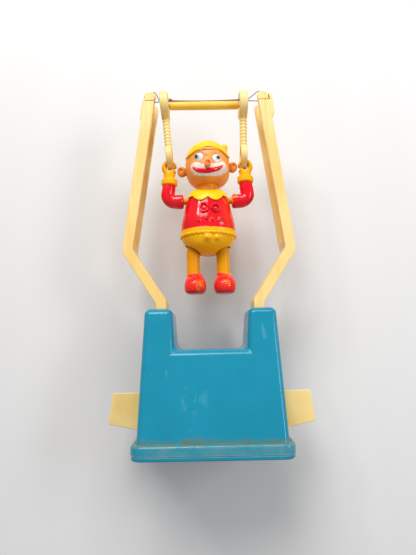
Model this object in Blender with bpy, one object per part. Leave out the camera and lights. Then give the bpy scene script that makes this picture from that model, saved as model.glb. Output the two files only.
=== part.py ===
# Trapeze clown toy: a hollow base with two squeeze levers, a string between their tips,
# and a jointed clown that hangs from a little trapeze on that string.
# Metres, +Z up, front towards -Y, origin at the middle of the base's underside.

import math

import bmesh
import bpy
from mathutils import Matrix, Vector

# Clearances
GAP = 0.0003
PIN_PLAY = 0.0002
SLOT_PLAY = 0.0006

# Base shell and its foot
SHELL_FOOT_WIDTH = 0.0608
SHELL_TOP_WIDTH = 0.0580
SHELL_FOOT_DEPTH = 0.0460
SHELL_TOP_DEPTH = 0.0220
SHELL_TOP_Z = 0.0600
SHELL_WALL = 0.0020
SHELL_EDGE = 0.0025
NOTCH_FLOOR_Z = 0.0420
NOTCH_FLOOR_WIDTH = 0.0310
NOTCH_TOP_WIDTH = 0.0336
RIM_WIDTH = 0.0653
RIM_DEPTH = 0.0510
RIM_TOP_Z = 0.0049
RIM_CORNER = 0.0050
RIM_ROUND = 0.0011
PLATE_THICKNESS = 0.0015
PLATE_INSET = 0.0003
BOSS_RADIUS = 0.0031

# Levers
LEVER_DEPTH = 0.0150
LEVER_WIDTH = 0.0046
LEVER_TOP_Z = 0.1648
LEVER_TIP_X = 0.0271
TIP_WIDTH = 0.0036
LEVER_EDGE = 0.0005
ELBOW_ROUND = 0.0022
THROAT_ROUND = 0.0030
ELBOW_X = 0.0373
ELBOW_Z = 0.0868
THROAT_X = 0.0219
THROAT_Z = 0.0630
PIVOT_Z = 0.0495
LEVER_SWING = 4.0
WEB = 0.0016
FLANGE = 0.0026
POCKET_FOOT_Z = 0.0915
LEVER_BOSS_RADIUS = 0.0033
PIN_RADIUS = 0.0012
PIN_SEAT = 0.0036
TIP_ROUND = 0.0012
STRING_GATE = 0.0042
TIP_GROOVE = 0.0037
EAR_REACH = 0.0014
EAR_WALL = 0.0017
EAR_DEPTH = 0.0050
EAR_DROP = 0.0138

# Buttons at the levers' feet
BUTTON_TOP_Z = 0.0229
BUTTON_FOOT_Z = 0.0110
BUTTON_TOP_X = 0.0426
BUTTON_FOOT_X = 0.0442
BUTTON_ROOT_Z = 0.0064
BUTTON_ROOT_X = 0.0224
BUTTON_ROUND = 0.0010
ROOT_ROUND = 0.0008
GRIP_RIBS = 7
GRIP_RISE = 0.00045
LIP_REACH = 0.0016
LIP_THICKNESS = 0.0016

# Return springs
SPRING_Z = 0.0170
SPRING_RADIUS = 0.0027
SPRING_WIRE = 0.0007
SPRING_CURLS = 7
SPIGOT_LENGTH = 0.0030
POST_THICKNESS = 0.0030
POST_DEPTH = 0.0110

# Trapeze
TRAPEZE_X = -0.0013
MID_Y = -0.0030
STRING_DROP = 0.0019
STRING_RADIUS = 0.0003
STRING_SPREAD = 0.00042
STRING_HOLE = 0.0010
STRING_STEP = 0.0014
BAR_DROP = 0.0029
BAR_RADIUS = 0.0016
TENON_RADIUS = 0.0011
HANGER_SPREAD = 0.0192
EYE_RADIUS = 0.00695
EYE_WIDTH = 0.0034
SHAFT_WIDTH = 0.0026
SHAFT_DEPTH = 0.0036
SHAFT_RIBS = 9
RIB_RISE = 0.00022
HANGER_DROP = 0.02695
RING_RADIUS = 0.0058
RING_BAR = 0.0018
RING_WIDTH = 0.0027
RING_ROUND = 0.0005

# Clown, which hangs by its hands from the rings
CLOWN_X = -0.0002
FIST_SPREAD = 0.0175
FIST_RADIUS = 0.0037
FIST_HOLE = 0.0024
FIST_DEPTH = 0.0042
FIST_MOUTH = 34.0
CUFF_RADIUS = 0.0038
CUFF_DROP = 0.00955
CUFF_HEIGHT = 0.0032
CUFF_ROUND = 0.0006
CUFF_STEP = 0.0001
SLEEVE_RADIUS = 0.0033
SLEEVE_EASE = 0.0013
FOREARM_X = 0.0189
ARM_DROP = 0.02185
ARM_RADIUS = 0.0035
ARM_INNER_X = 0.0113
ARM_END_ROUND = 0.0005
ELBOW_STEP = 0.0001
AXLE_RADIUS = 0.0014
AXLE_SEAT = 0.0042
SEAT_LENGTH = 0.0039
BELLY_LENGTH = 0.0069
VEST_LENGTH = 0.0208
SHOULDER_RISE = 0.0054
HIP_WIDTH = 0.0215
WAIST_WIDTH = 0.0258
SHOULDER_WIDTH = 0.0193
BODY_DEPTH = 0.0212
BODY_WALL = 0.0016
BODY_SEAM = 0.0001
BELLY_SWELL = 0.0007
VEST_STEP = 0.0004
COLLAR_RADIUS = 0.0102
COLLAR_RISE = 0.0006
COLLAR_DROP = 0.0060
COLLAR_FRONT = 0.0016
COLLAR_LOBES = 8
NECK_RADIUS = 0.0048
NECK_PLUG = 0.0034
CHIN_GAP = 0.0006
HEAD_WIDTH = 0.0208
HEAD_DEPTH = 0.0214
HEAD_HEIGHT = 0.0222
HEAD_NOD = 8.0
HEAD_TILT = -2.0
JAW_POWER = 2.3
CAP_RISE = 0.0006
CAP_LIFT = 35.0
CAP_KNOT_RADIUS = 0.0016
CAP_KNOT_LENGTH = 0.0028
NOSE_RADIUS = 0.0018
FACE_EAR_HEIGHT = 0.0060
FACE_EAR_REACH = 0.0028
FACE_EAR_BACK = 0.0006
FACE_EAR_DROP = 0.0032
FACE_EAR_SLANT = 0.0006
BELLY_BUTTON = 0.0017
BUTTON_ROW_DROP = 0.0036
HIP_AXLE_RISE = 0.0023
HIP_AXLE_RADIUS = 0.0009
LEG_SPREAD = 0.0069
LEG_RADIUS = 0.0029
LEG_SWING = 22.0
KNUCKLE_WIDTH = 0.0040
KNUCKLE_RADIUS = 0.0027
KNEE_TAPER = 0.0010
KNUCKLE_TUCK = 0.0005
SHIN_LENGTH = 0.0092
SHOE_HEIGHT = 0.0078
SHOE_WIDTH = 0.0097
SHOE_LENGTH = 0.0125
SHOE_SHIFT = 0.0006
HEEL_REACH = 0.0012
ANKLE_TUCK = 0.0030

# Heights that follow from what hangs on what
STRING_Z = LEVER_TOP_Z - STRING_DROP
BAR_Z = STRING_Z - BAR_DROP
EAR_FOOT_Z = LEVER_TOP_Z - EAR_DROP
RING_Z = BAR_Z - HANGER_DROP
CUFF_TOP_Z = RING_Z - CUFF_DROP
SHOULDER_Z = RING_Z - ARM_DROP
SHOULDER_TOP_Z = SHOULDER_Z + SHOULDER_RISE
COLLAR_TOP_Z = SHOULDER_TOP_Z + COLLAR_RISE
HEAD_Z = COLLAR_TOP_Z + CHIN_GAP + HEAD_HEIGHT / 2.0
WAIST_Z = SHOULDER_TOP_Z - VEST_LENGTH
BUTTON_ROW_Z = WAIST_Z - BUTTON_ROW_DROP
HIP_Z = WAIST_Z - BELLY_LENGTH
HIP_AXLE_Z = HIP_Z + HIP_AXLE_RISE
BODY_FOOT_Z = HIP_Z - SEAT_LENGTH
ANKLE_Z = BODY_FOOT_Z - SHIN_LENGTH
SOLE_Z = ANKLE_Z - SHOE_HEIGHT

SIDES = {"left": -1.0, "right": 1.0}


def clear_scene():
    for obj in list(bpy.data.objects):
        bpy.data.objects.remove(obj, do_unlink=True)


def paint(name, colour, roughness, metallic=0.0):
    mat = bpy.data.materials.new(name)
    mat.use_nodes = True
    shader = mat.node_tree.nodes["Principled BSDF"]
    shader.inputs["Base Color"].default_value = (*colour, 1.0)
    shader.inputs["Roughness"].default_value = roughness
    shader.inputs["Metallic"].default_value = metallic
    mat.diffuse_color = (*colour, 1.0)
    return mat


def add_object(name, bm, mat=None, pivot=(0.0, 0.0, 0.0), smooth=35.0):
    pivot = Vector(pivot)
    bmesh.ops.recalc_face_normals(bm, faces=bm.faces)
    bmesh.ops.translate(bm, vec=-pivot, verts=bm.verts)
    mesh = bpy.data.meshes.new(name)
    bm.to_mesh(mesh)
    bm.free()
    mesh.shade_smooth()
    mesh.set_sharp_from_angle(angle=math.radians(smooth))
    obj = bpy.data.objects.new(name, mesh)
    obj.location = pivot
    bpy.context.scene.collection.objects.link(obj)
    if mat:
        mesh.materials.append(mat)
    return obj


def combine(obj, bm, operation):
    # A hidden tool mesh that is joined to, cut from or kept from the piece.
    tool = add_object(obj.name + "_tool", bm)
    tool.hide_render = True
    tool.display_type = "WIRE"
    mod = obj.modifiers.new(tool.name, "BOOLEAN")
    mod.operation = operation
    mod.solver = "EXACT"
    mod.object = tool


def join(obj, bm):
    combine(obj, bm, "UNION")


def cut(obj, bm):
    combine(obj, bm, "DIFFERENCE")


def loft(rings):
    # Closed skin over a stack of point rings that all have the same count.
    bm = bmesh.new()
    rows = []
    for ring in rings:
        rows.append([bm.verts.new(point) for point in ring])
    count = len(rows[0])
    for low, high in zip(rows, rows[1:]):
        for i in range(count):
            j = (i + 1) % count
            bm.faces.new((low[i], low[j], high[j], high[i]))
    bm.faces.new(list(reversed(rows[0])))
    bm.faces.new(rows[-1])
    return bm


def oval(centre, half_x, half_y, count=24, power=2.0):
    points = []
    for i in range(count):
        angle = 2.0 * math.pi * (i + 0.5) / count
        c = math.cos(angle)
        s = math.sin(angle)
        x = math.copysign(abs(c) ** (2.0 / power), c) * half_x
        y = math.copysign(abs(s) ** (2.0 / power), s) * half_y
        points.append(Vector((centre[0] + x, centre[1] + y, centre[2])))
    return points


def box(low, high):
    bm = bmesh.new()
    bmesh.ops.create_cube(bm, size=1.0)
    size = Vector(high) - Vector(low)
    middle = (Vector(high) + Vector(low)) / 2.0
    bmesh.ops.scale(bm, vec=size, verts=bm.verts)
    bmesh.ops.translate(bm, vec=middle, verts=bm.verts)
    return bm


def rod(start, end, radius, sides=24):
    start = Vector(start)
    end = Vector(end)
    along = end - start
    turn = along.to_track_quat("Z", "Y").to_matrix().to_4x4() @ Matrix.Rotation(math.pi / sides, 4, "Z")
    place = Matrix.Translation((start + end) / 2.0) @ turn
    bm = bmesh.new()
    bmesh.ops.create_cone(
        bm, cap_ends=True, segments=sides, radius1=radius, radius2=radius,
        depth=along.length, matrix=place,
    )
    return bm


def ball(centre, radii, turn=None, across=20, down=12):
    bm = bmesh.new()
    bmesh.ops.create_uvsphere(bm, u_segments=across, v_segments=down, radius=1.0)
    bmesh.ops.scale(bm, vec=Vector(radii), verts=bm.verts)
    if turn:
        bmesh.ops.transform(bm, matrix=turn, verts=bm.verts)
    bmesh.ops.translate(bm, vec=Vector(centre), verts=bm.verts)
    return bm


def round_corners(corners, steps=3):
    # Corners are (x, z, radius); each one becomes an arc.
    points = []
    count = len(corners)
    for i, (x, z, radius) in enumerate(corners):
        here = Vector((x, z))
        back = Vector(corners[i - 1][:2]) - here
        ahead = Vector(corners[(i + 1) % count][:2]) - here
        if radius <= 0.0:
            points.append(here)
            continue
        back.normalize()
        ahead.normalize()
        half = back.angle(ahead) / 2.0
        reach = radius / math.tan(half)
        middle = here + (back + ahead).normalized() * (radius / math.sin(half))
        first = here + back * reach - middle
        last = here + ahead * reach - middle
        sweep = first.angle_signed(last)
        for k in range(steps + 1):
            turned = first.copy()
            turned.rotate(Matrix.Rotation(-sweep * k / steps, 2))
            points.append(middle + turned)
    return points


def prism(outline, y_low, y_high, edge=0.0):
    # Outline of (x, z) points pushed through from front to back.
    bm = bmesh.new()
    front = [bm.verts.new((p[0], y_low, p[1])) for p in outline]
    back = [bm.verts.new((p[0], y_high, p[1])) for p in outline]
    faces = [bm.faces.new(front), bm.faces.new(list(reversed(back)))]
    count = len(outline)
    for i in range(count):
        j = (i + 1) % count
        bm.faces.new((front[j], front[i], back[i], back[j]))
    bmesh.ops.recalc_face_normals(bm, faces=bm.faces)
    if edge > 0.0:
        rims = {e for face in faces for e in face.edges}
        bmesh.ops.bevel(
            bm, geom=list(rims), offset=edge, segments=1, profile=0.5, affect="EDGES",
            clamp_overlap=True,
        )
    return bm


def sweep(path, radii, count=16, flatten=1.0):
    # Round skin along a path in the XZ plane; flatten scales it across that plane.
    rings = []
    for i, here in enumerate(path):
        before = path[max(i - 1, 0)]
        after = path[min(i + 1, len(path) - 1)]
        along = (after - before).normalized()
        side = Vector((along.z, 0.0, -along.x))
        ring = []
        for k in range(count):
            angle = 2.0 * math.pi * k / count
            offset = side * math.cos(angle) + Vector((0.0, flatten, 0.0)) * math.sin(angle)
            ring.append(here + offset * radii[i])
        rings.append(ring)
    return loft(rings)


def smooth_route(knots, step):
    # Points along a smooth curve through the given knots.
    points = []
    for i in range(len(knots) - 1):
        p0 = knots[max(i - 1, 0)]
        p1 = knots[i]
        p2 = knots[i + 1]
        p3 = knots[min(i + 2, len(knots) - 1)]
        count = max(2, int((p2 - p1).length / step))
        for k in range(count):
            t = k / count
            a = 2.0 * p1
            b = (p2 - p0) * t
            c = (2.0 * p0 - 5.0 * p1 + 4.0 * p2 - p3) * t * t
            d = (3.0 * p1 - p0 - 3.0 * p2 + p3) * t * t * t
            points.append(0.5 * (a + b + c + d))
    points.append(knots[-1])
    return points


def tube(name, points, radius, mat, resolution, pivot=(0.0, 0.0, 0.0)):
    pivot = Vector(pivot)
    curve = bpy.data.curves.new(name, "CURVE")
    curve.dimensions = "3D"
    curve.bevel_depth = radius
    curve.bevel_resolution = resolution
    curve.use_fill_caps = True
    curve.twist_mode = "MINIMUM"
    spline = curve.splines.new("POLY")
    spline.points.add(len(points) - 1)
    for slot, point in zip(spline.points, points):
        slot.co = (*(point - pivot), 1.0)
    curve.materials.append(mat)
    obj = bpy.data.objects.new(name, curve)
    obj.location = pivot
    bpy.context.scene.collection.objects.link(obj)
    return obj


def shell_half(z):
    t = (z - RIM_TOP_Z) / (SHELL_TOP_Z - RIM_TOP_Z)
    half_x = (SHELL_FOOT_WIDTH + (SHELL_TOP_WIDTH - SHELL_FOOT_WIDTH) * t) / 2.0
    half_y = (SHELL_FOOT_DEPTH + (SHELL_TOP_DEPTH - SHELL_FOOT_DEPTH) * t) / 2.0
    return half_x, half_y


def horned_block(z_low, inset, edge):
    # Tapered block with a notch between two horns, drawn in by the wall for the hollow.
    z_high = SHELL_TOP_Z - inset
    floor = NOTCH_FLOOR_Z - inset
    low_x = shell_half(z_low)[0] - inset
    high_x = shell_half(z_high)[0] - inset
    floor_x = NOTCH_FLOOR_WIDTH / 2.0 + inset
    mouth_x = NOTCH_TOP_WIDTH / 2.0 + inset
    half = [(low_x, z_low), (high_x, z_high), (mouth_x, z_high), (floor_x, floor)]
    outline = half + [(-x, z) for x, z in reversed(half)]
    bm = bmesh.new()
    front = [bm.verts.new((x, inset - shell_half(z)[1], z)) for x, z in outline]
    back = [bm.verts.new((x, shell_half(z)[1] - inset, z)) for x, z in outline]
    bm.faces.new(front)
    bm.faces.new(list(reversed(back)))
    count = len(outline)
    for i in range(count):
        j = (i + 1) % count
        bm.faces.new((front[j], front[i], back[i], back[j]))
    bmesh.ops.recalc_face_normals(bm, faces=bm.faces)
    if edge > 0.0:
        edges = [e for e in bm.edges if max(v.co.z for v in e.verts) > z_low + GAP]
        bmesh.ops.bevel(
            bm, geom=edges, offset=edge, segments=3, profile=0.5, affect="EDGES",
            clamp_overlap=True,
        )
    return bm


def slab(half_x, half_y, corner, z_low, z_high, top_round):
    corners = [(-half_x, -half_y), (half_x, -half_y), (half_x, half_y), (-half_x, half_y)]
    plan = round_corners([(x, y, corner) for x, y in corners], 6)
    bm = bmesh.new()
    low = bm.faces.new([bm.verts.new((p[0], p[1], z_low)) for p in plan])
    grown = bmesh.ops.extrude_face_region(bm, geom=[low])
    high = [v for v in grown["geom"] if isinstance(v, bmesh.types.BMVert)]
    bmesh.ops.translate(bm, vec=(0.0, 0.0, z_high - z_low), verts=high)
    bmesh.ops.recalc_face_normals(bm, faces=bm.faces)
    if top_round > 0.0:
        edges = [e for e in bm.edges if min(v.co.z for v in e.verts) > z_high - GAP]
        bmesh.ops.bevel(
            bm, geom=edges, offset=top_round, segments=3, profile=0.5, affect="EDGES",
            clamp_overlap=True,
        )
    return bm


def build_base(blue):
    foot_z = PLATE_THICKNESS + GAP
    shell = add_object("base_shell", horned_block(foot_z, 0.0, SHELL_EDGE), blue)
    join(shell, slab(RIM_WIDTH / 2.0, RIM_DEPTH / 2.0, RIM_CORNER, foot_z, RIM_TOP_Z, RIM_ROUND))
    cut(shell, horned_block(foot_z - SHELL_WALL, SHELL_WALL, 0.0))

    lever_half = LEVER_DEPTH / 2.0
    wall_y = shell_half(PIVOT_Z)[1] - SHELL_WALL / 2.0
    travel = (SHELL_TOP_Z - PIVOT_Z) * math.tan(math.radians(LEVER_SWING))
    pin_end = lever_half + SLOT_PLAY + PIN_SEAT + GAP
    for side in SIDES.values():
        for face in (-1.0, 1.0):
            near = (side * THROAT_X, face * (lever_half + SLOT_PLAY), PIVOT_Z)
            far = (side * THROAT_X, face * wall_y, PIVOT_Z)
            join(shell, rod(near, far, BOSS_RADIUS, 20))
    for side in SIDES.values():
        inner = side * (THROAT_X - LEVER_WIDTH / 2.0 - SLOT_PLAY)
        outer = side * (THROAT_X + LEVER_WIDTH / 2.0 + SLOT_PLAY + travel)
        low = (min(inner, outer), -lever_half - SLOT_PLAY, SHELL_TOP_Z - 2.0 * SHELL_WALL)
        high = (max(inner, outer), lever_half + SLOT_PLAY, SHELL_TOP_Z + SHELL_WALL)
        cut(shell, box(low, high))
        wall_x = shell_half(SPRING_Z)[0]
        inner = side * (wall_x - 2.0 * SHELL_WALL)
        outer = side * (wall_x + 2.0 * SHELL_WALL)
        low = (min(inner, outer), -lever_half - SLOT_PLAY, BUTTON_ROOT_Z - 2.0 * SLOT_PLAY)
        high = (max(inner, outer), lever_half + SLOT_PLAY, BUTTON_TOP_Z + SLOT_PLAY)
        cut(shell, box(low, high))
        start = (side * THROAT_X, -pin_end, PIVOT_Z)
        end = (side * THROAT_X, pin_end, PIVOT_Z)
        cut(shell, rod(start, end, PIN_RADIUS + PIN_PLAY, 20))

    half_x = RIM_WIDTH / 2.0 - PLATE_INSET
    half_y = RIM_DEPTH / 2.0 - PLATE_INSET
    plate = add_object(
        "base_plate", slab(half_x, half_y, RIM_CORNER - PLATE_INSET, 0.0, PLATE_THICKNESS, 0.0), blue
    )
    post_x = POST_THICKNESS / 2.0
    top_z = SPRING_Z + 2.0 * SPRING_RADIUS
    post = box((-post_x, -POST_DEPTH / 2.0, PLATE_THICKNESS / 2.0), (post_x, POST_DEPTH / 2.0, top_z))
    join(plate, post)
    spigot_end = post_x + SPIGOT_LENGTH
    spigot = SPRING_RADIUS - SPRING_WIRE / 2.0 - GAP
    join(plate, rod((-spigot_end, 0.0, SPRING_Z), (spigot_end, 0.0, SPRING_Z), spigot, 16))


def arm_x(z):
    t = (z - ELBOW_Z) / (LEVER_TOP_Z - ELBOW_Z)
    return ELBOW_X + (LEVER_TIP_X - ELBOW_X) * t


def offset_line(path, distance):
    # Points moved sideways from a path of (x, z), mitred at its bends.
    moved = []
    for i, here in enumerate(path):
        here = Vector(here)
        before = (here - Vector(path[i - 1])).normalized() if i else None
        after = (Vector(path[i + 1]) - here).normalized() if i + 1 < len(path) else None
        before = before or after
        after = after or before
        normal_a = Vector((-before.y, before.x))
        normal_b = Vector((-after.y, after.x))
        mitre = (normal_a + normal_b).normalized()
        moved.append(here + mitre * (distance / mitre.dot(normal_a)))
    return moved


def grip_edge():
    # Serrated outer edge of a button, from its top corner to its foot.
    top = Vector((BUTTON_TOP_X, BUTTON_TOP_Z))
    foot = Vector((BUTTON_FOOT_X, BUTTON_FOOT_Z))
    points = []
    for i in range(2 * GRIP_RIBS + 1):
        t = i / (2.0 * GRIP_RIBS)
        point = top.lerp(foot, t)
        rise = GRIP_RISE if i % 2 else 0.0
        points.append((point.x + rise, point.y, 0.0))
    return points


def lever_outline():
    root = (BUTTON_ROOT_X + LEVER_WIDTH / 2.0, BUTTON_TOP_Z - LEVER_WIDTH)
    path = [(LEVER_TIP_X, LEVER_TOP_Z), (ELBOW_X, ELBOW_Z), (THROAT_X, THROAT_Z)]
    path += [(THROAT_X, PIVOT_Z), root]
    outer = offset_line(path, LEVER_WIDTH / 2.0)
    inner = offset_line(path, -LEVER_WIDTH / 2.0)
    slope = (outer[4].x - outer[3].x) / (outer[4].y - outer[3].y)
    root_x = outer[4].x + slope * (BUTTON_TOP_Z - outer[4].y)
    corners = [(LEVER_TIP_X + TIP_WIDTH / 2.0, LEVER_TOP_Z, TIP_ROUND)]
    corners += [(outer[1].x, outer[1].y, ELBOW_ROUND), (outer[2].x, outer[2].y, THROAT_ROUND)]
    corners += [(outer[3].x, outer[3].y, 0.0), (root_x, BUTTON_TOP_Z, BUTTON_ROUND)]
    corners += grip_edge()
    corners += [(BUTTON_ROOT_X, BUTTON_ROOT_Z, ROOT_ROUND), (BUTTON_ROOT_X, BUTTON_TOP_Z, 0.0)]
    corners += [(inner[3].x, inner[3].y, 0.0), (inner[2].x, inner[2].y, THROAT_ROUND)]
    corners += [(inner[1].x, inner[1].y, ELBOW_ROUND)]
    corners += [(LEVER_TIP_X - TIP_WIDTH / 2.0, LEVER_TOP_Z, TIP_ROUND)]
    return round_corners(corners)


def strip(z_low, z_high, inner, outer):
    # Slanted four-sided outline that follows the upper arm.
    low = arm_x(z_low)
    high = arm_x(z_high)
    return [(low + inner, z_low), (low + outer, z_low), (high + outer, z_high), (high + inner, z_high)]


def mirrored(outline, side):
    return [(side * p[0], p[1]) for p in outline]


def slot_outer():
    # Outer side of the string's slot, measured from the arm's middle line.
    return TIP_WIDTH / 2.0 + EAR_REACH - EAR_WALL


def build_lever(name, side, cream):
    half = LEVER_DEPTH / 2.0
    mid = LEVER_WIDTH / 2.0
    pivot = (side * THROAT_X, 0.0, PIVOT_Z)
    body = prism(mirrored(lever_outline(), side), -half, half, LEVER_EDGE)
    lever = add_object("lever_" + name, body, cream, pivot)

    # Channel along the upper arm, open inwards and at the tip.
    above = LEVER_TOP_Z + LEVER_WIDTH
    pocket = strip(POCKET_FOOT_Z, above, -LEVER_WIDTH, mid - WEB)
    cut(lever, prism(mirrored(pocket, side), FLANGE - half, half - FLANGE))

    # The string's slots in both faces of the tip, and an ear that stands outside one of them.
    tip_mid = TIP_WIDTH / 2.0
    knee = EAR_FOOT_Z + 2.0 * EAR_REACH
    out = tip_mid + EAR_REACH
    root = tip_mid - WEB / 2.0
    ear = [(arm_x(EAR_FOOT_Z) + root, EAR_FOOT_Z), (arm_x(EAR_FOOT_Z) + tip_mid, EAR_FOOT_Z)]
    ear += [(arm_x(knee) + out, knee), (arm_x(LEVER_TOP_Z) + out, LEVER_TOP_Z)]
    ear += [(arm_x(LEVER_TOP_Z) + root, LEVER_TOP_Z)]
    ear_face = -side
    span = sorted((ear_face * (half - 2.0 * LEVER_EDGE), ear_face * (half - EAR_DEPTH)))
    join(lever, prism(mirrored(ear, side), span[0], span[1], 0.0))
    for face in (-1.0, 1.0):
        edge = slot_outer() if face == ear_face else out + GAP
        slot = strip(LEVER_TOP_Z - STRING_GATE, above, slot_outer() - 2.0 * (STRING_RADIUS + GAP), edge)
        span = sorted((face * (half + GAP), face * (half - EAR_DEPTH - GAP)))
        cut(lever, prism(mirrored(slot, side), span[0], span[1]))
    groove_z = LEVER_TOP_Z - TIP_GROOVE
    groove = strip(groove_z - GAP, groove_z + GAP, -LEVER_WIDTH, LEVER_WIDTH / 2.0 + GAP)
    cut(lever, prism(mirrored(groove, side), -LEVER_DEPTH, GAP - half))

    # Stop lip that bears on the inside of the base, and the spring's spigot.
    wall_x = shell_half(SPRING_Z)[0] - SHELL_WALL - SLOT_PLAY
    tops = sorted((side * (wall_x - LIP_THICKNESS), side * wall_x))
    lip_y = half + SLOT_PLAY + LIP_REACH
    low = (tops[0], -lip_y, BUTTON_ROOT_Z + SHELL_WALL)
    high = (tops[1], lip_y, BUTTON_TOP_Z - SHELL_WALL)
    join(lever, box(low, high))
    start = (side * (BUTTON_ROOT_X + SPIGOT_LENGTH), 0.0, SPRING_Z)
    end = (side * (BUTTON_ROOT_X - SPIGOT_LENGTH), 0.0, SPRING_Z)
    join(lever, rod(start, end, SPRING_RADIUS - SPRING_WIRE / 2.0 - GAP, 16))

    ends = [(side * THROAT_X, y, PIVOT_Z) for y in (-half, half)]
    join(lever, rod(ends[0], ends[1], LEVER_BOSS_RADIUS, 24))
    ends = [(side * THROAT_X, y, PIVOT_Z) for y in (-2.0 * half, 2.0 * half)]
    cut(lever, rod(ends[0], ends[1], PIN_RADIUS + PIN_PLAY, 20))


def build_pin(name, side, steel):
    reach = LEVER_DEPTH / 2.0 + SLOT_PLAY + PIN_SEAT
    start = (side * THROAT_X, -reach, PIVOT_Z)
    end = (side * THROAT_X, reach, PIVOT_Z)
    add_object("pivot_pin_" + name, rod(start, end, PIN_RADIUS, 20), steel, (start[0], 0.0, PIVOT_Z))


def build_spring(name, side, steel):
    start = POST_THICKNESS / 2.0 + GAP + SPRING_WIRE / 2.0
    end = BUTTON_ROOT_X - GAP - SPRING_WIRE / 2.0
    lead = SPRING_WIRE
    steps = 9
    points = []
    total = SPRING_CURLS * steps
    for i in range(total + 1):
        t = i / total
        angle = 2.0 * math.pi * SPRING_CURLS * t
        x = start + (end - start) * t
        y = SPRING_RADIUS * math.cos(angle)
        z = SPRING_Z + SPRING_RADIUS * math.sin(angle)
        points.append(Vector((side * x, y, z)))
    # The wire's ends run straight along the last curl's own direction.
    first = (points[0] - points[1]).normalized()
    last = (points[-1] - points[-2]).normalized()
    first.x = 0.0
    last.x = 0.0
    points.insert(0, points[0] + first.normalized() * lead)
    points.append(points[-1] + last.normalized() * lead)
    tube("return_spring_" + name, points, SPRING_WIRE / 2.0, steel, 1)

    least = min(
        (a - b).length for i, a in enumerate(points) for b in points[i + steps // 2 + 1:]
    )
    print("return_spring_" + name, "least gap to itself", round(1000.0 * (least - SPRING_WIRE), 2), "mm")


def trapeze_x(side):
    return TRAPEZE_X + side * HANGER_SPREAD


def fist_x(side):
    return CLOWN_X + side * FIST_SPREAD


def fist_z():
    # The hand's hole hangs on the rounded inner edge of the ring.
    ring_inner = RING_Z - RING_RADIUS + RING_BAR
    corner = RING_WIDTH / 2.0 - RING_ROUND
    room = FIST_HOLE - 1.3 * GAP
    return ring_inner - math.sqrt(room * room - corner * corner)


def build_hanger(name, side, cream):
    axis = (0.0, MID_Y, STRING_Z)
    eye = Vector((trapeze_x(side), MID_Y, BAR_Z))
    foot = Vector((fist_x(side), MID_Y, RING_Z - RING_RADIUS))
    down = (foot - eye).normalized()
    across = Vector((0.0, 1.0, 0.0)).cross(down).normalized()
    ring = eye + down * (BAR_Z - RING_Z)

    half = EYE_WIDTH / 2.0
    disc = rod(eye - across * half, eye + across * half, EYE_RADIUS, 32)
    rims = [e for e in disc.edges if len(e.link_faces) == 2 and max(len(f.verts) for f in e.link_faces) > 4]
    bmesh.ops.bevel(
        disc, geom=rims, offset=RING_ROUND, segments=2, profile=0.5, affect="EDGES", clamp_overlap=True
    )
    hanger = add_object("hanger_" + name, disc, cream, axis)

    # Ribbed shaft between the eye and the ring.
    start = EYE_RADIUS - RING_BAR
    length = BAR_Z - RING_Z - RING_RADIUS + RING_BAR / 2.0 - start
    rings = []
    for i in range(2 * SHAFT_RIBS + 1):
        rise = RIB_RISE if i % 2 else -RIB_RISE
        centre = eye + down * (start + length * i / (2 * SHAFT_RIBS))
        points = []
        for flat in oval((0.0, 0.0, 0.0), SHAFT_WIDTH / 2.0 + rise, SHAFT_DEPTH / 2.0 + rise, 12, 3.0):
            points.append(centre + across * flat.x + Vector((0.0, flat.y, 0.0)))
        rings.append(points)
    join(hanger, loft(rings))

    # Round-edged ring, turned about its own axis.
    section = [(RING_RADIUS - RING_BAR, -RING_WIDTH / 2.0), (RING_RADIUS, -RING_WIDTH / 2.0)]
    section += [(RING_RADIUS, RING_WIDTH / 2.0), (RING_RADIUS - RING_BAR, RING_WIDTH / 2.0)]
    section = round_corners([(r, a, RING_ROUND) for r, a in section], 1)
    bm = bmesh.new()
    turns = 32
    rows = []
    for i in range(turns):
        angle = 2.0 * math.pi * i / turns
        spoke = down * math.cos(angle) + Vector((0.0, 1.0, 0.0)) * math.sin(angle)
        rows.append([bm.verts.new(ring + spoke * p[0] + across * p[1]) for p in section])
    count = len(section)
    for i in range(turns):
        here = rows[i]
        after = rows[(i + 1) % turns]
        for k in range(count):
            n = (k + 1) % count
            bm.faces.new((here[k], here[n], after[n], after[k]))
    bmesh.ops.recalc_face_normals(bm, faces=bm.faces)
    join(hanger, bm)

    reach = 2.0 * EYE_WIDTH
    for z, radius in ((BAR_Z, TENON_RADIUS + PIN_PLAY), (STRING_Z, STRING_HOLE)):
        low = (eye.x - reach, MID_Y, z)
        high = (eye.x + reach, MID_Y, z)
        cut(hanger, rod(low, high, radius, 20))


def build_bar(gold):
    lean = EYE_WIDTH / 2.0 * 1.1
    left = trapeze_x(-1.0) + lean + GAP
    right = trapeze_x(1.0) - lean - GAP
    axis = (0.0, MID_Y, STRING_Z)
    bar = add_object("trapeze_bar", rod((left, MID_Y, BAR_Z), (right, MID_Y, BAR_Z), BAR_RADIUS), gold, axis)
    start = (trapeze_x(-1.0) - EYE_WIDTH / 2.0, MID_Y, BAR_Z)
    end = (trapeze_x(1.0) + EYE_WIDTH / 2.0, MID_Y, BAR_Z)
    join(bar, rod(start, end, TENON_RADIUS, 20))


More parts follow.
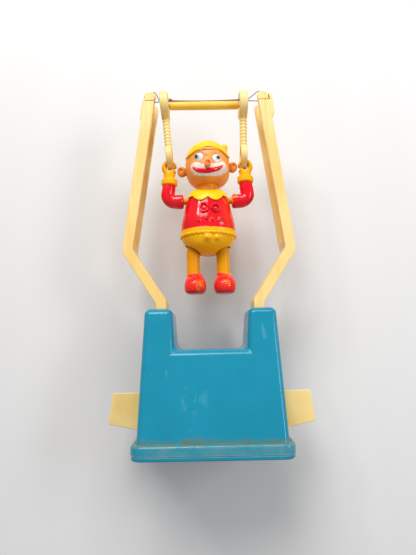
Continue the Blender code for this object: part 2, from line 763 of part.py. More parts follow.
def build_strings(thread):
    axis = (0.0, MID_Y, STRING_Z)
    ends = [trapeze_x(-1.0), trapeze_x(1.0)]
    for name, face in (("front", -1.0), ("back", 1.0)):
        y = MID_Y + face * STRING_SPREAD
        steps = 24
        points = []
        for i in range(steps + 1):
            points.append(Vector((ends[0] + (ends[1] - ends[0]) * i / steps, y, STRING_Z)))
        tube("string_" + name, points, STRING_RADIUS, thread, 2, axis)

    clear = STRING_RADIUS + GAP
    mid = TIP_WIDTH / 2.0
    front_y = (FLANGE - LEVER_DEPTH) / 2.0
    back_y = FLANGE - LEVER_DEPTH / 2.0 + clear
    top_z = LEVER_TOP_Z + clear
    low_z = LEVER_TOP_Z - STRING_GATE + clear
    for name, side in SIDES.items():
        eye_x = abs(trapeze_x(side)) + GAP
        eye_out = eye_x + EYE_WIDTH / 2.0 + GAP
        tip = arm_x(LEVER_TOP_Z)
        inner_x = tip - mid - clear
        slot = arm_x(LEVER_TOP_Z - STRING_GATE / 2.0) + slot_outer() - clear
        knots = [
            (eye_x, MID_Y - STRING_SPREAD, STRING_Z),
            (eye_out, MID_Y - STRING_SPREAD, STRING_Z + GAP),
            (inner_x + TIP_ROUND / 2.0, front_y, top_z - TIP_ROUND / 2.0),
            (tip - mid / 3.0, front_y, top_z + GAP / 2.0),
            (tip + mid / 3.0, front_y, top_z + GAP / 2.0),
            (slot - GAP, front_y, LEVER_TOP_Z - TIP_ROUND / 2.0),
            (slot, (front_y + back_y) / 2.0, (top_z + low_z) / 2.0 - clear),
            (slot - GAP, back_y, low_z + GAP),
            (tip, back_y, low_z),
            (inner_x, back_y, low_z + GAP),
            (eye_out, MID_Y + STRING_SPREAD, STRING_Z - GAP),
            (eye_x, MID_Y + STRING_SPREAD, STRING_Z),
        ]
        knots = [Vector((side * x, y, z)) for x, y, z in knots]
        points = smooth_route(knots, STRING_STEP)
        tube("string_" + name, points, STRING_RADIUS, thread, 2, (side * THROAT_X, 0.0, PIVOT_Z))
        length = sum((b - a).length for a, b in zip(points, points[1:]))
        print("string_" + name, "length", round(1000.0 * length, 1), "mm")


def body_rows():
    # Pear-shaped trunk: (height, half width, half depth) from foot to neck.
    depth = BODY_DEPTH / 2.0
    hip = HIP_WIDTH / 2.0
    waist = WAIST_WIDTH / 2.0
    shoulder = SHOULDER_WIDTH / 2.0
    rise = SHOULDER_TOP_Z - WAIST_Z
    return [
        (BODY_FOOT_Z, 0.40 * hip, 0.42 * depth),
        ((BODY_FOOT_Z + HIP_Z) / 2.0, 0.76 * hip, 0.74 * depth),
        (HIP_Z, hip, 0.92 * depth),
        ((HIP_Z + WAIST_Z) / 2.0, (hip + waist) / 2.0 + BELLY_SWELL, 0.99 * depth),
        (WAIST_Z, waist, depth),
        (WAIST_Z + VEST_STEP, waist - VEST_STEP, depth - VEST_STEP),
        (WAIST_Z + 0.28 * rise, 0.75 * waist + 0.25 * shoulder, 0.94 * depth),
        (WAIST_Z + 0.56 * rise, 0.36 * waist + 0.64 * shoulder, 0.84 * depth),
        (WAIST_Z + 0.80 * rise, shoulder, 0.74 * depth),
        (WAIST_Z + 0.92 * rise, 0.88 * shoulder, 0.66 * depth),
        (SHOULDER_TOP_Z, 0.68 * shoulder, 0.54 * depth),
    ]


def body_half(z):
    rows = body_rows()
    for low, high in zip(rows, rows[1:]):
        if low[0] <= z <= high[0]:
            t = (z - low[0]) / (high[0] - low[0])
            return low[1] + (high[1] - low[1]) * t
    return rows[0][1]


def body_rings(inset):
    rings = []
    for z, half_x, half_y in body_rows():
        z = min(max(z, BODY_FOOT_Z + inset), SHOULDER_TOP_Z - inset)
        rings.append(oval((CLOWN_X, MID_Y, z), half_x - inset, half_y - inset))
    if inset > 0.0:
        return rings[1:-1]
    return rings


def hip_reach():
    return body_half(HIP_AXLE_Z) - BODY_WALL / 2.0


def collar_ruff():
    # Scalloped collar that lies over the shoulders.
    count = COLLAR_LOBES * 6
    low_z = COLLAR_TOP_Z - 0.60 * COLLAR_DROP
    rows = ((COLLAR_TOP_Z, 0.52), (COLLAR_TOP_Z - 0.28 * COLLAR_DROP, 0.86), (0.0, 1.0), (0.0, 0.90))
    rows += ((low_z, 0.50),)
    rings = []
    for row, (z, share) in enumerate(rows):
        ring = []
        for i in range(count):
            angle = 2.0 * math.pi * (i + 0.5) / count
            lobe = abs(math.sin(COLLAR_LOBES * (angle + math.pi / 2.0) / 2.0))
            reach = COLLAR_RADIUS * share
            front = COLLAR_FRONT * max(0.0, -math.sin(angle))
            height = z
            if row == 2:
                height = COLLAR_TOP_Z - COLLAR_DROP * (0.62 + 0.30 * lobe) - front
            if row == 3:
                height = COLLAR_TOP_Z - COLLAR_DROP * (0.66 + 0.34 * lobe) - front
            x = CLOWN_X + reach * math.cos(angle)
            y = MID_Y + 0.86 * reach * math.sin(angle)
            ring.append(Vector((x, y, height)))
        rings.append(ring)
    return loft(rings)


def leg_slot(side):
    # Room for a leg to swing under the trunk.
    swing = math.tan(math.radians(LEG_SWING))
    drop = HIP_AXLE_Z - BODY_FOOT_Z
    half_y = (LEG_RADIUS + GAP) / math.cos(math.radians(LEG_SWING)) + drop * swing
    half_x = LEG_RADIUS + 2.0 * GAP
    x = CLOWN_X + side * LEG_SPREAD
    top_y = LEG_RADIUS + 2.0 * GAP
    low = oval((x, MID_Y, BODY_FOOT_Z - BODY_WALL), half_x, half_y, 16, 2.6)
    high = oval((x, MID_Y, HIP_AXLE_Z), half_x, top_y, 16, 2.6)
    return loft([low, high])


def build_body(red):
    pivot = (CLOWN_X, MID_Y, SHOULDER_Z)
    for name, face in (("front", -1.0), ("back", 1.0)):
        body = add_object("body_" + name, loft(body_rings(0.0)), red, pivot, 60.0)
        join(body, collar_ruff())
        if face < 0.0:
            for side in SIDES.values():
                x = CLOWN_X + side * 0.19 * WAIST_WIDTH / 2.0
                spot = (x, MID_Y - 0.97 * BODY_DEPTH / 2.0, BUTTON_ROW_Z)
                radii = (BELLY_BUTTON, 0.55 * BELLY_BUTTON, BELLY_BUTTON)
                join(body, ball(spot, radii, None, 12, 8))
        cut(body, loft(body_rings(BODY_WALL)))
        reach = 2.0 * WAIST_WIDTH
        start = (CLOWN_X, MID_Y, COLLAR_TOP_Z - NECK_PLUG)
        end = (CLOWN_X, MID_Y, HEAD_Z)
        cut(body, rod(start, end, NECK_RADIUS + GAP))
        low_x = CLOWN_X - reach
        high_x = CLOWN_X + reach
        cut(body, rod((low_x, MID_Y, SHOULDER_Z), (high_x, MID_Y, SHOULDER_Z), AXLE_RADIUS + PIN_PLAY, 20))
        low_x = CLOWN_X - hip_reach() - GAP
        high_x = CLOWN_X + hip_reach() + GAP
        hole = HIP_AXLE_RADIUS + PIN_PLAY
        cut(body, rod((low_x, MID_Y, HIP_AXLE_Z), (high_x, MID_Y, HIP_AXLE_Z), hole, 16))
        for side in SIDES.values():
            cut(body, leg_slot(side))
        seam = MID_Y + face * BODY_SEAM / 2.0
        far = MID_Y - face * reach
        low = (CLOWN_X - reach, min(seam, far), 0.0)
        high = (CLOWN_X + reach, max(seam, far), 2.0 * HEAD_Z)
        cut(body, box(low, high))


def build_axles(gold, steel):
    reach = ARM_INNER_X + AXLE_SEAT
    start = (CLOWN_X - reach, MID_Y, SHOULDER_Z)
    end = (CLOWN_X + reach, MID_Y, SHOULDER_Z)
    add_object("shoulder_axle", rod(start, end, AXLE_RADIUS, 20), gold, (CLOWN_X, MID_Y, SHOULDER_Z))
    start = (CLOWN_X - hip_reach(), MID_Y, HIP_AXLE_Z)
    end = (CLOWN_X + hip_reach(), MID_Y, HIP_AXLE_Z)
    add_object("hip_axle", rod(start, end, HIP_AXLE_RADIUS, 16), steel, (CLOWN_X, MID_Y, HIP_AXLE_Z))


def build_head(flesh):
    centre = Vector((CLOWN_X, MID_Y, HEAD_Z))
    tilt = Matrix.Rotation(math.radians(HEAD_TILT), 4, "Y")
    nod = tilt @ Matrix.Rotation(math.radians(HEAD_NOD), 4, "X")
    half = Vector((HEAD_WIDTH / 2.0, HEAD_DEPTH / 2.0, HEAD_HEIGHT / 2.0))
    pivot = (CLOWN_X, MID_Y, SHOULDER_Z)
    skull = ball((0.0, 0.0, 0.0), half, None, 28, 18)
    for vert in skull.verts:
        # The jaw is fuller than the crown.
        drop = min(max(-vert.co.z / half.z, 0.0), 0.999)
        full = (1.0 - drop ** JAW_POWER) ** (1.0 / JAW_POWER) / math.sqrt(1.0 - drop * drop)
        vert.co.x *= full
        vert.co.y *= full
    bmesh.ops.transform(skull, matrix=Matrix.Translation(centre) @ tilt, verts=skull.verts)
    head = add_object("head", skull, flesh, pivot, 50.0)

    # Cap: a slightly larger dome, lifted off the forehead, with a folded point.
    grown = half + Vector((CAP_RISE, CAP_RISE, CAP_RISE))
    cap = ball((0.0, 0.0, 0.0), grown, None, 28, 18)
    tip_back = Matrix.Rotation(math.radians(-CAP_LIFT), 3, "X")
    bmesh.ops.bisect_plane(
        cap, geom=list(cap.verts) + list(cap.edges) + list(cap.faces), dist=1e-7,
        plane_co=(0.0, 0.0, 0.10 * HEAD_HEIGHT), plane_no=tip_back @ Vector((0.0, 0.0, 1.0)),
        clear_inner=True,
    )
    bmesh.ops.holes_fill(cap, edges=[e for e in cap.edges if e.is_boundary])
    bmesh.ops.transform(cap, matrix=Matrix.Translation(centre) @ nod, verts=cap.verts)
    join(head, cap)
    knot = centre + nod @ Vector((0.72 * half.x, -0.10 * half.y, 0.66 * half.z))
    spin = Matrix.Rotation(math.radians(40.0), 4, "Y")
    join(head, ball(knot, (CAP_KNOT_RADIUS, CAP_KNOT_RADIUS, CAP_KNOT_LENGTH), spin, 12, 8))

    nose = centre + nod @ Vector((0.0, -half.y - 0.15 * NOSE_RADIUS, -0.38 * half.z))
    join(head, ball(nose, (NOSE_RADIUS, NOSE_RADIUS, NOSE_RADIUS), None, 14, 10))
    for side in SIDES.values():
        reach = FACE_EAR_REACH
        drop = FACE_EAR_DROP - side * FACE_EAR_SLANT
        spot = centre + tilt @ Vector((side * (half.x + 0.02 * reach), FACE_EAR_BACK, -drop))
        lean = Matrix.Rotation(math.radians(side * 10.0), 4, "Y")
        join(head, ball(spot, (reach, 0.6 * reach, FACE_EAR_HEIGHT / 2.0), lean, 14, 10))
    start = (CLOWN_X, MID_Y, COLLAR_TOP_Z - NECK_PLUG + GAP)
    join(head, rod(start, centre, NECK_RADIUS))


def build_arm(name, side, red):
    pivot = (CLOWN_X, MID_Y, RING_Z)
    fist = Vector((fist_x(side), MID_Y, fist_z()))
    fore = CLOWN_X + side * FOREARM_X
    inner = CLOWN_X + side * ARM_INNER_X
    path = [Vector((fore, MID_Y, SHOULDER_Z))]
    radii = [ARM_RADIUS - ELBOW_STEP]
    cuff_foot = CUFF_TOP_Z - CUFF_HEIGHT
    rows = [(cuff_foot - SLEEVE_EASE, SLEEVE_RADIUS), (cuff_foot, SLEEVE_RADIUS)]
    rows += [(cuff_foot + CUFF_STEP, CUFF_RADIUS - CUFF_ROUND)]
    rows += [(cuff_foot + 0.25 * CUFF_HEIGHT, CUFF_RADIUS), (cuff_foot + 0.75 * CUFF_HEIGHT, CUFF_RADIUS)]
    rows += [(CUFF_TOP_Z - CUFF_STEP, CUFF_RADIUS - CUFF_ROUND), (CUFF_TOP_Z, 0.74 * FIST_RADIUS)]
    rows += [(fist.z - FIST_RADIUS * 0.80, 0.80 * FIST_RADIUS)]
    for z, radius in rows:
        path.append(Vector((fist.x, MID_Y, z)))
        radii.append(radius)
    arm = add_object("arm_" + name, sweep(path, radii, 20), red, pivot, 50.0)

    # Upper arm, and the ball of the elbow.
    upper = [Vector((x, MID_Y, SHOULDER_Z)) for x in (inner, inner + side * ARM_END_ROUND, fore)]
    join(arm, sweep(upper, [ARM_RADIUS - ARM_END_ROUND, ARM_RADIUS, ARM_RADIUS], 18))
    elbow = ARM_RADIUS + ELBOW_STEP
    join(arm, ball((fore, MID_Y, SHOULDER_Z), (elbow, elbow, elbow), None, 18, 12))

    # Hooked hand: an open ring whose mouth faces the head.
    middle = (FIST_RADIUS + FIST_HOLE) / 2.0
    thick = (FIST_RADIUS - FIST_HOLE) / 2.0
    first = 180.0 + FIST_MOUTH / 2.0
    last = 540.0 - FIST_MOUTH / 2.0
    steps = 22
    hook = []
    sizes = []
    for i in range(steps + 1):
        angle = math.radians(first + (last - first) * i / steps)
        offset = Vector((side * math.cos(angle), 0.0, math.sin(angle))) * middle
        hook.append(fist + offset)
        sizes.append(thick * (0.8 if i in (0, steps) else 1.0))
    join(arm, sweep(hook, sizes, 10, FIST_DEPTH / (FIST_RADIUS - FIST_HOLE)))
    inside = [(fist.x, MID_Y - FIST_DEPTH, fist.z), (fist.x, MID_Y + FIST_DEPTH, fist.z)]
    cut(arm, rod(inside[0], inside[1], FIST_HOLE, 24))

    start = (CLOWN_X, MID_Y, SHOULDER_Z)
    end = (inner + side * (AXLE_SEAT + GAP), MID_Y, SHOULDER_Z)
    cut(arm, rod(start, end, AXLE_RADIUS + PIN_PLAY, 20))


def build_leg(name, side, gold):
    x = CLOWN_X + side * LEG_SPREAD
    pivot = (x, MID_Y, HIP_AXLE_Z)
    rows = [(ANKLE_Z - ANKLE_TUCK, LEG_RADIUS), (ANKLE_Z, LEG_RADIUS), (BODY_FOOT_Z, LEG_RADIUS)]
    rows += [(HIP_Z - KNEE_TAPER, LEG_RADIUS * 0.92), (HIP_AXLE_Z - KNUCKLE_TUCK, KNUCKLE_WIDTH / 2.0)]
    rings = [oval((x, MID_Y, z), r, r, 18) for z, r in rows]
    leg = add_object("leg_" + name, loft(rings), gold, pivot, 50.0)

    # Eye at the top of the leg, turned on the hip axle.
    half = KNUCKLE_WIDTH / 2.0
    join(leg, rod((x - half, MID_Y, HIP_AXLE_Z), (x + half, MID_Y, HIP_AXLE_Z), KNUCKLE_RADIUS, 20))
    far = 2.0 * KNUCKLE_WIDTH
    cut(leg, rod((x - far, MID_Y, HIP_AXLE_Z), (x + far, MID_Y, HIP_AXLE_Z), HIP_AXLE_RADIUS + PIN_PLAY, 16))

    # Round-toed shoe, flat underneath.
    heel = LEG_RADIUS + HEEL_REACH
    middle_y = MID_Y + heel - SHOE_LENGTH / 2.0
    height = ANKLE_Z - SOLE_Z
    rings = []
    for share, width, length in (
        (0.0, 0.80, 0.84), (0.10, 0.93, 0.95), (0.34, 1.0, 1.0), (0.62, 0.94, 0.94),
        (0.84, 0.76, 0.74), (0.97, 0.50, 0.42),
    ):
        z = SOLE_Z + height * share
        y = middle_y + (1.0 - length) * SHOE_LENGTH * 0.42 * share
        middle = (x + SHOE_SHIFT, y, z)
        rings.append(oval(middle, SHOE_WIDTH / 2.0 * width, SHOE_LENGTH / 2.0 * length, 20, 2.3))
    join(leg, loft(rings))


def main():
    clear_scene()
    blue = paint("blue_plastic", (0.018, 0.27, 0.41), 0.30)
    cream = paint("cream_plastic", (0.90, 0.70, 0.34), 0.42)
    gold = paint("golden_plastic", (0.90, 0.45, 0.03), 0.38)
    red = paint("red_paint", (0.75, 0.015, 0.02), 0.30)
    flesh = paint("flesh_paint", (0.84, 0.36, 0.10), 0.45)
    thread = paint("brown_thread", (0.23, 0.11, 0.04), 0.85)
    steel = paint("spring_steel", (0.55, 0.55, 0.54), 0.35, 1.0)

    build_base(blue)
    for name, side in SIDES.items():
        build_lever(name, side, cream)
        build_pin(name, side, steel)
        build_spring(name, side, steel)
        build_hanger(name, side, cream)
        build_arm(name, side, red)
        build_leg(name, side, gold)
    build_bar(gold)
    build_strings(thread)
    build_body(red)
    build_axles(gold, steel)
    build_head(flesh)


main()
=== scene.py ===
import math

import bmesh
import bpy
from mathutils import Matrix, Vector
from mathutils.bvhtree import BVHTree


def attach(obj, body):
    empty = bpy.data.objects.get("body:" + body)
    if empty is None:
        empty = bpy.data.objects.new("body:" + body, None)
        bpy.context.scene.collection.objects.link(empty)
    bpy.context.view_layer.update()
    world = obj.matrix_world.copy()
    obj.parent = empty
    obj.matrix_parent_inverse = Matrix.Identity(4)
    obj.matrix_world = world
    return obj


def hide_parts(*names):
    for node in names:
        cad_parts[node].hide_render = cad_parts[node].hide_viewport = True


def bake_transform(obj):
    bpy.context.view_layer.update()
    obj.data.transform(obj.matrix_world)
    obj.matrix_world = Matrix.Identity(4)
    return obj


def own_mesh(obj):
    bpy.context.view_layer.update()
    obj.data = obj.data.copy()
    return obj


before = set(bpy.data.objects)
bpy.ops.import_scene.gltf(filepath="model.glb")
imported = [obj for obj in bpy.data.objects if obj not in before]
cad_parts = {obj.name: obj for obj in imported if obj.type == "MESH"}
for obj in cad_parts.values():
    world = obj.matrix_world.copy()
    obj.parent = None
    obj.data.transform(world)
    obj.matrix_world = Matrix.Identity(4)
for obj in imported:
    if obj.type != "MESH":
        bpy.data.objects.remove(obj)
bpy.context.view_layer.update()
scene = bpy.context.scene
sides = {"left": -1.0, "right": 1.0}
mm = 0.001
print("frame loaded:", len(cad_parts), "nodes")


def between(low, high, share):
    return low + (high - low) * share


# camera at the photograph's viewing angle

cameraView = {
    "aim": (-0.00075, -0.0075, 0.0739),
    "distance": 0.188,
    "yaw": 0.4,
    "rise": 8.5,
    "roll": 1.0,
    "focalPixels": 417.0,
    "imageHeight": 555.0,
    "sensor": 36.0,
}


def placeCamera(view):
    yaw, rise, roll = (math.radians(view[key]) for key in ("yaw", "rise", "roll"))
    look = Vector((math.sin(yaw) * math.cos(rise), math.cos(yaw) * math.cos(rise), math.sin(rise)))
    flatRight = Vector((math.cos(yaw), -math.sin(yaw), 0.0))
    flatUp = flatRight.cross(look)
    right = flatRight * math.cos(roll) - flatUp * math.sin(roll)
    up = flatRight * math.sin(roll) + flatUp * math.cos(roll)
    data = bpy.data.cameras.new("photoCamera")
    data.sensor_width = view["sensor"]
    data.lens = view["focalPixels"] * view["sensor"] / view["imageHeight"]
    data.clip_start = 0.01
    camera = bpy.data.objects.new("photoCamera", data)
    scene.collection.objects.link(camera)
    stand = Matrix((right, up, -look)).transposed().to_4x4()
    stand.translation = Vector(view["aim"]) - look * view["distance"]
    camera.matrix_world = stand
    scene.camera = camera


placeCamera(cameraView)
scene.view_settings.view_transform = "Standard"


# material helpers

def addNode(tree, kind, inputs=None, **settings):
    node = tree.nodes.new(kind)
    for key, value in settings.items():
        setattr(node, key, value)
    for key, value in (inputs or {}).items():
        if isinstance(value, bpy.types.NodeSocket):
            tree.links.new(value, node.inputs[key])
        else:
            node.inputs[key].default_value = value
    return node


def objectCoords(tree, offset=(0.0, 0.0, 0.0), stretch=(1.0, 1.0, 1.0), turn=(0.0, 0.0, 0.0)):
    coords = addNode(tree, "ShaderNodeTexCoord").outputs["Object"]
    mapping = addNode(tree, "ShaderNodeMapping", {"Vector": coords, "Scale": stretch, "Rotation": turn})
    mapping.inputs["Location"].default_value = [-offset[k] * stretch[k] for k in range(3)]
    return mapping.outputs["Vector"]


def noise(tree, scale, detail=3.0, rough=0.55, vector=None):
    vector = vector or addNode(tree, "ShaderNodeTexCoord").outputs["Object"]
    inputs = {"Vector": vector, "Scale": scale, "Detail": detail, "Roughness": rough}
    return addNode(tree, "ShaderNodeTexNoise", inputs).outputs["Fac"]


def spread(tree, value, low, high, to=(0.0, 1.0), smooth=True):
    inputs = {"Value": value, "From Min": low, "From Max": high, "To Min": to[0], "To Max": to[1]}
    kind = "SMOOTHSTEP" if smooth else "LINEAR"
    return addNode(tree, "ShaderNodeMapRange", inputs, interpolation_type=kind).outputs["Result"]


def calc(tree, operation, a, b=0.0, clamp=False):
    node = addNode(tree, "ShaderNodeMath", {0: a, 1: b}, operation=operation, use_clamp=clamp)
    return node.outputs["Value"]


def times(tree, a, b):
    return calc(tree, "MULTIPLY", a, b)


def inverse(tree, value):
    return calc(tree, "SUBTRACT", 1.0, value)


def mixColour(tree, factor, a, b):
    node = addNode(tree, "ShaderNodeMix", data_type="RGBA")
    # sockets of a colour mix: 0 is its factor, 6 and 7 its colours, and 2 its result
    for index, value in ((0, factor), (6, a), (7, b)):
        if isinstance(value, bpy.types.NodeSocket):
            tree.links.new(value, node.inputs[index])
        elif index == 0:
            node.inputs[index].default_value = value
        else:
            node.inputs[index].default_value = (*value, 1.0)
    return node.outputs[2]


def objectAxis(tree, axis="Z"):
    coords = addNode(tree, "ShaderNodeTexCoord").outputs["Object"]
    return addNode(tree, "ShaderNodeSeparateXYZ", {"Vector": coords}).outputs[axis]


def edgeMask(tree, radius, low, high):
    # bright where the surface turns within the radius
    normal = addNode(tree, "ShaderNodeNewGeometry").outputs["Normal"]
    soft = addNode(tree, "ShaderNodeBevel", {"Radius": radius}, samples=6).outputs["Normal"]
    dot = addNode(tree, "ShaderNodeVectorMath", {0: normal, 1: soft}, operation="DOT_PRODUCT")
    return spread(tree, inverse(tree, dot.outputs["Value"]), low, high)


def hollowMask(tree, reach, low, high):
    # bright in corners and creases, where ambient light is blocked; the finishes use it to paint shade there
    light = addNode(tree, "ShaderNodeAmbientOcclusion", {"Distance": reach}, samples=8).outputs["AO"]
    return spread(tree, inverse(tree, light), low, high)


def spotMask(tree, centre, radius, soft, ragged=0.0, raggedScale=900.0, stretch=(1.0, 1.0, 1.0)):
    vector = objectCoords(tree, centre, stretch)
    length = addNode(tree, "ShaderNodeVectorMath", {0: vector}, operation="LENGTH").outputs["Value"]
    if ragged:
        length = calc(tree, "ADD", length, times(tree, noise(tree, raggedScale, 4.0), ragged))
        radius = radius + ragged / 2.0
    return spread(tree, length, radius - soft, radius + soft, (1.0, 0.0))


def waver(tree, scale, detail, amount):
    # small ups and downs round zero
    return times(tree, calc(tree, "SUBTRACT", noise(tree, scale, detail), 0.5), amount)


def most(tree, values):
    result = values[0]
    for value in values[1:]:
        result = calc(tree, "MAXIMUM", result, value)
    return result


def startFinish(name, look):
    mat = bpy.data.materials.new(name)
    mat.use_nodes = True
    shader = mat.node_tree.nodes["Principled BSDF"]
    shader.inputs["Specular IOR Level"].default_value = look.get("specular", 0.5)
    shader.inputs["Coat Weight"].default_value = look.get("coat", 0.0)
    shader.inputs["Coat Roughness"].default_value = look.get("coatRough", 0.12)
    mat.diffuse_color = (*look["base"], 1.0)
    return mat, mat.node_tree, shader


def finishSurface(tree, shader, colour, rough, heights):
    tree.links.new(colour, shader.inputs["Base Color"])
    tree.links.new(rough, shader.inputs["Roughness"])
    normal = None
    for height, strength, distance in heights:
        inputs = {"Height": height, "Strength": strength, "Distance": distance}
        if normal:
            inputs["Normal"] = normal
        normal = addNode(tree, "ShaderNodeBump", inputs).outputs["Normal"]
    tree.links.new(normal, shader.inputs["Normal"])


def mouldedPlastic(name, look):
    # clouded colour, dirt and painted shade in hollows, edges lightened as rubbed wear and as painted
    # highlight, hairline scratches and a fine moulded grain
    mat, tree, shader = startFinish(name, look)
    cloud = noise(tree, look.get("cloud", 55.0), 4.0)
    colour = mixColour(tree, spread(tree, cloud, 0.38, 0.66), look["base"], look["deep"])
    speck = spread(tree, noise(tree, look.get("speckScale", 1400.0), 2.0), 0.66, 0.74)
    colour = mixColour(tree, times(tree, speck, look.get("specks", 0.25)), colour, look["grimeAndShade"])
    patches = spread(tree, noise(tree, 160.0, 5.0), 0.42, 0.68)
    # painted shade with dirt: occlusion darkens creases and corners towards the dark colour, in patches
    grimeAndShade = times(tree, hollowMask(tree, look.get("reach", 0.004), 0.42, 0.95), patches)
    colour = mixColour(tree, times(tree, grimeAndShade, look.get("dirt", 0.6)), colour, look["grimeAndShade"])
    # lightened edges: rubbed wear, and on the teal a painted highlight along the edges
    edges = times(tree, edgeMask(tree, look.get("edge", 0.0006), 0.02, 0.16), patches)
    colour = mixColour(tree, times(tree, edges, look.get("rubAndHighlight", 0.35)), colour, look["pale"])
    lines = noise(tree, 260.0, 2.0, 0.5, objectCoords(tree, stretch=(1.0, 1.0, 0.07), turn=(0.0, 0.35, 0.0)))
    scratch = spread(tree, lines, 0.68, 0.71)
    colour = mixColour(tree, times(tree, scratch, look.get("scratch", 0.12)), colour, look["pale"])
    if look.get("streaks"):
        flow = noise(tree, 480.0, 4.0, 0.6, objectCoords(tree, stretch=(1.0, 1.0, 0.035)))
        flow = times(tree, spread(tree, flow, 0.46, 0.66), look["streaks"])
        flow = times(tree, flow, spread(tree, objectAxis(tree), *look["streakZ"]))
        colour = mixColour(tree, flow, colour, look["streak"])
    extra = look.get("extra")
    if extra:
        colour = extra(tree, colour)
    rough = spread(tree, noise(tree, 90.0, 4.0), 0.3, 0.7, look["rough"], False)
    rough = calc(tree, "ADD", rough, times(tree, most(tree, [scratch, grimeAndShade]), 0.22), True)
    heights = [
        (noise(tree, look.get("grain", 2200.0), 2.0), look.get("grainDepth", 0.10), 0.0001),
        (noise(tree, 110.0, 2.0), 0.12, 0.0004),
        (inverse(tree, scratch), 0.10, 0.0001),
    ]
    finishSurface(tree, shader, colour, rough, heights)
    return mat


def paintOver(name, look):
    # gloss paint over yellow plastic: brush clouds, thin rubbed edges and flaked chips
    mat, tree, shader = startFinish(name, look)
    cloud = noise(tree, look.get("cloud", 120.0), 4.0)
    colour = mixColour(tree, spread(tree, cloud, 0.36, 0.66), look["base"], look["deep"])
    broken = spread(tree, noise(tree, 420.0, 4.0), 0.45, 0.60)
    thin = times(tree, edgeMask(tree, 0.0007, 0.05, 0.30), broken)
    colour = mixColour(tree, times(tree, thin, 0.5), colour, look["thin"])
    tint = look.get("tint")
    if tint:
        colour = tint(tree, colour)
    flaking = noise(tree, look.get("chipScale", 620.0), 5.0, 0.65)
    chips = [spread(tree, flaking, look["chips"], look["chips"] + 0.02)]
    for centre, radius in look.get("spots", ()):
        flakes = spread(tree, noise(tree, 1700.0, 5.0, 0.7), 0.51, 0.56)
        chips.append(times(tree, spotMask(tree, centre, radius, 0.4 * radius), flakes))
    chip = most(tree, chips)
    under = mixColour(tree, spread(tree, noise(tree, 300.0), 0.4, 0.6), look["under"], look["underDeep"])
    colour = mixColour(tree, chip, colour, under)
    paint = inverse(tree, chip)
    bare = look.get("bare")
    if bare:
        unpainted = bare(tree)
        colour = mixColour(tree, unpainted, colour, under)
        paint = times(tree, paint, inverse(tree, unpainted))
    # painted shade: occlusion darkens creases and corners
    hollow = times(tree, hollowMask(tree, 0.003, 0.45, 1.0), 0.45)
    colour = mixColour(tree, hollow, colour, look["grimeAndShade"])
    rough = spread(tree, noise(tree, 150.0, 4.0), 0.3, 0.7, look["rough"], False)
    rough = calc(tree, "ADD", rough, times(tree, inverse(tree, paint), 0.22), True)
    heights = [
        (paint, 0.35, 0.00012),
        (noise(tree, 170.0, 3.0), 0.12, 0.0004),
        (noise(tree, 1500.0, 2.0), 0.06, 0.0001),
    ]
    finishSurface(tree, shader, colour, rough, heights)
    return mat


def softPaint(name, look):
    # thin satin paint with worn spots that let the tone below through
    mat, tree, shader = startFinish(name, look)
    cloud = noise(tree, 140.0, 5.0)
    colour = mixColour(tree, spread(tree, cloud, 0.36, 0.66), look["base"], look["deep"])
    worn = spread(tree, noise(tree, 700.0, 5.0, 0.7), look["worn"], look["worn"] + 0.05)
    colour = mixColour(tree, worn, colour, look["under"])
    extra = look.get("extra")
    if extra:
        colour = extra(tree, colour)
    # painted shade: occlusion darkens creases and corners
    hollow = times(tree, hollowMask(tree, 0.002, 0.35, 0.95), 0.55)
    colour = mixColour(tree, hollow, colour, look["grimeAndShade"])
    rough = spread(tree, noise(tree, 200.0, 4.0), 0.3, 0.7, look["rough"], False)
    heights = [
        (inverse(tree, worn), 0.2, 0.00008),
        (noise(tree, 230.0, 3.0), 0.14, 0.0003),
        (noise(tree, 1700.0, 2.0), 0.08, 0.0001),
    ]
    finishSurface(tree, shader, colour, rough, heights)
    return mat


# mesh helpers

def meshOf(bm, name="part"):
    mesh = bpy.data.meshes.new(name)
    bm.to_mesh(mesh)
    bm.free()
    return mesh


def addPiece(name, bm, body, mats, nodes=(), crease=38.0):
    mesh = meshOf(bm, name)
    mesh.shade_smooth()
    mesh.set_sharp_from_angle(angle=math.radians(crease))
    for mat in mats:
        mesh.materials.append(mat)
    obj = bpy.data.objects.new(name, mesh)
    scene.collection.objects.link(obj)
    if body:
        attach(obj, body)
    if nodes:
        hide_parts(*nodes)
    return obj


def subdivide(obj, levels):
    mod = obj.modifiers.new("subdivide", "SUBSURF")
    mod.levels = levels
    mod.render_levels = levels


def surfaceOf(obj):
    return BVHTree.FromObject(obj, bpy.context.evaluated_depsgraph_get())


def shapeFrom(bm, steps, levels=0):
    # joins and cuts the steps' shapes, and gives the finished shape back as a bmesh
    main = bpy.data.objects.new("main", meshOf(bm))
    scene.collection.objects.link(main)
    tools = []
    if levels:
        subdivide(main, levels)
    for operation, other in steps:
        bmesh.ops.recalc_face_normals(other, faces=other.faces)
        tool = bpy.data.objects.new("tool", meshOf(other))
        scene.collection.objects.link(tool)
        tool.hide_render = True
        mod = main.modifiers.new("step", "BOOLEAN")
        mod.operation = operation
        mod.solver = "EXACT"
        mod.object = tool
        tools.append(tool)
    bpy.context.view_layer.update()
    done = main.evaluated_get(bpy.context.evaluated_depsgraph_get())
    result = bmesh.new()
    result.from_mesh(done.to_mesh())
    done.to_mesh_clear()
    for obj in [main, *tools]:
        mesh = obj.data
        bpy.data.objects.remove(obj, do_unlink=True)
        bpy.data.meshes.remove(mesh)
    bmesh.ops.remove_doubles(result, verts=result.verts, dist=1e-6)
    return result


def softenNormals(obj):
    mod = obj.modifiers.new("weighted", "WEIGHTED_NORMAL")
    mod.keep_sharp = True
    mod.weight = 60


def onlyVerts(geom):
    return [item for item in geom if isinstance(item, bmesh.types.BMVert)]


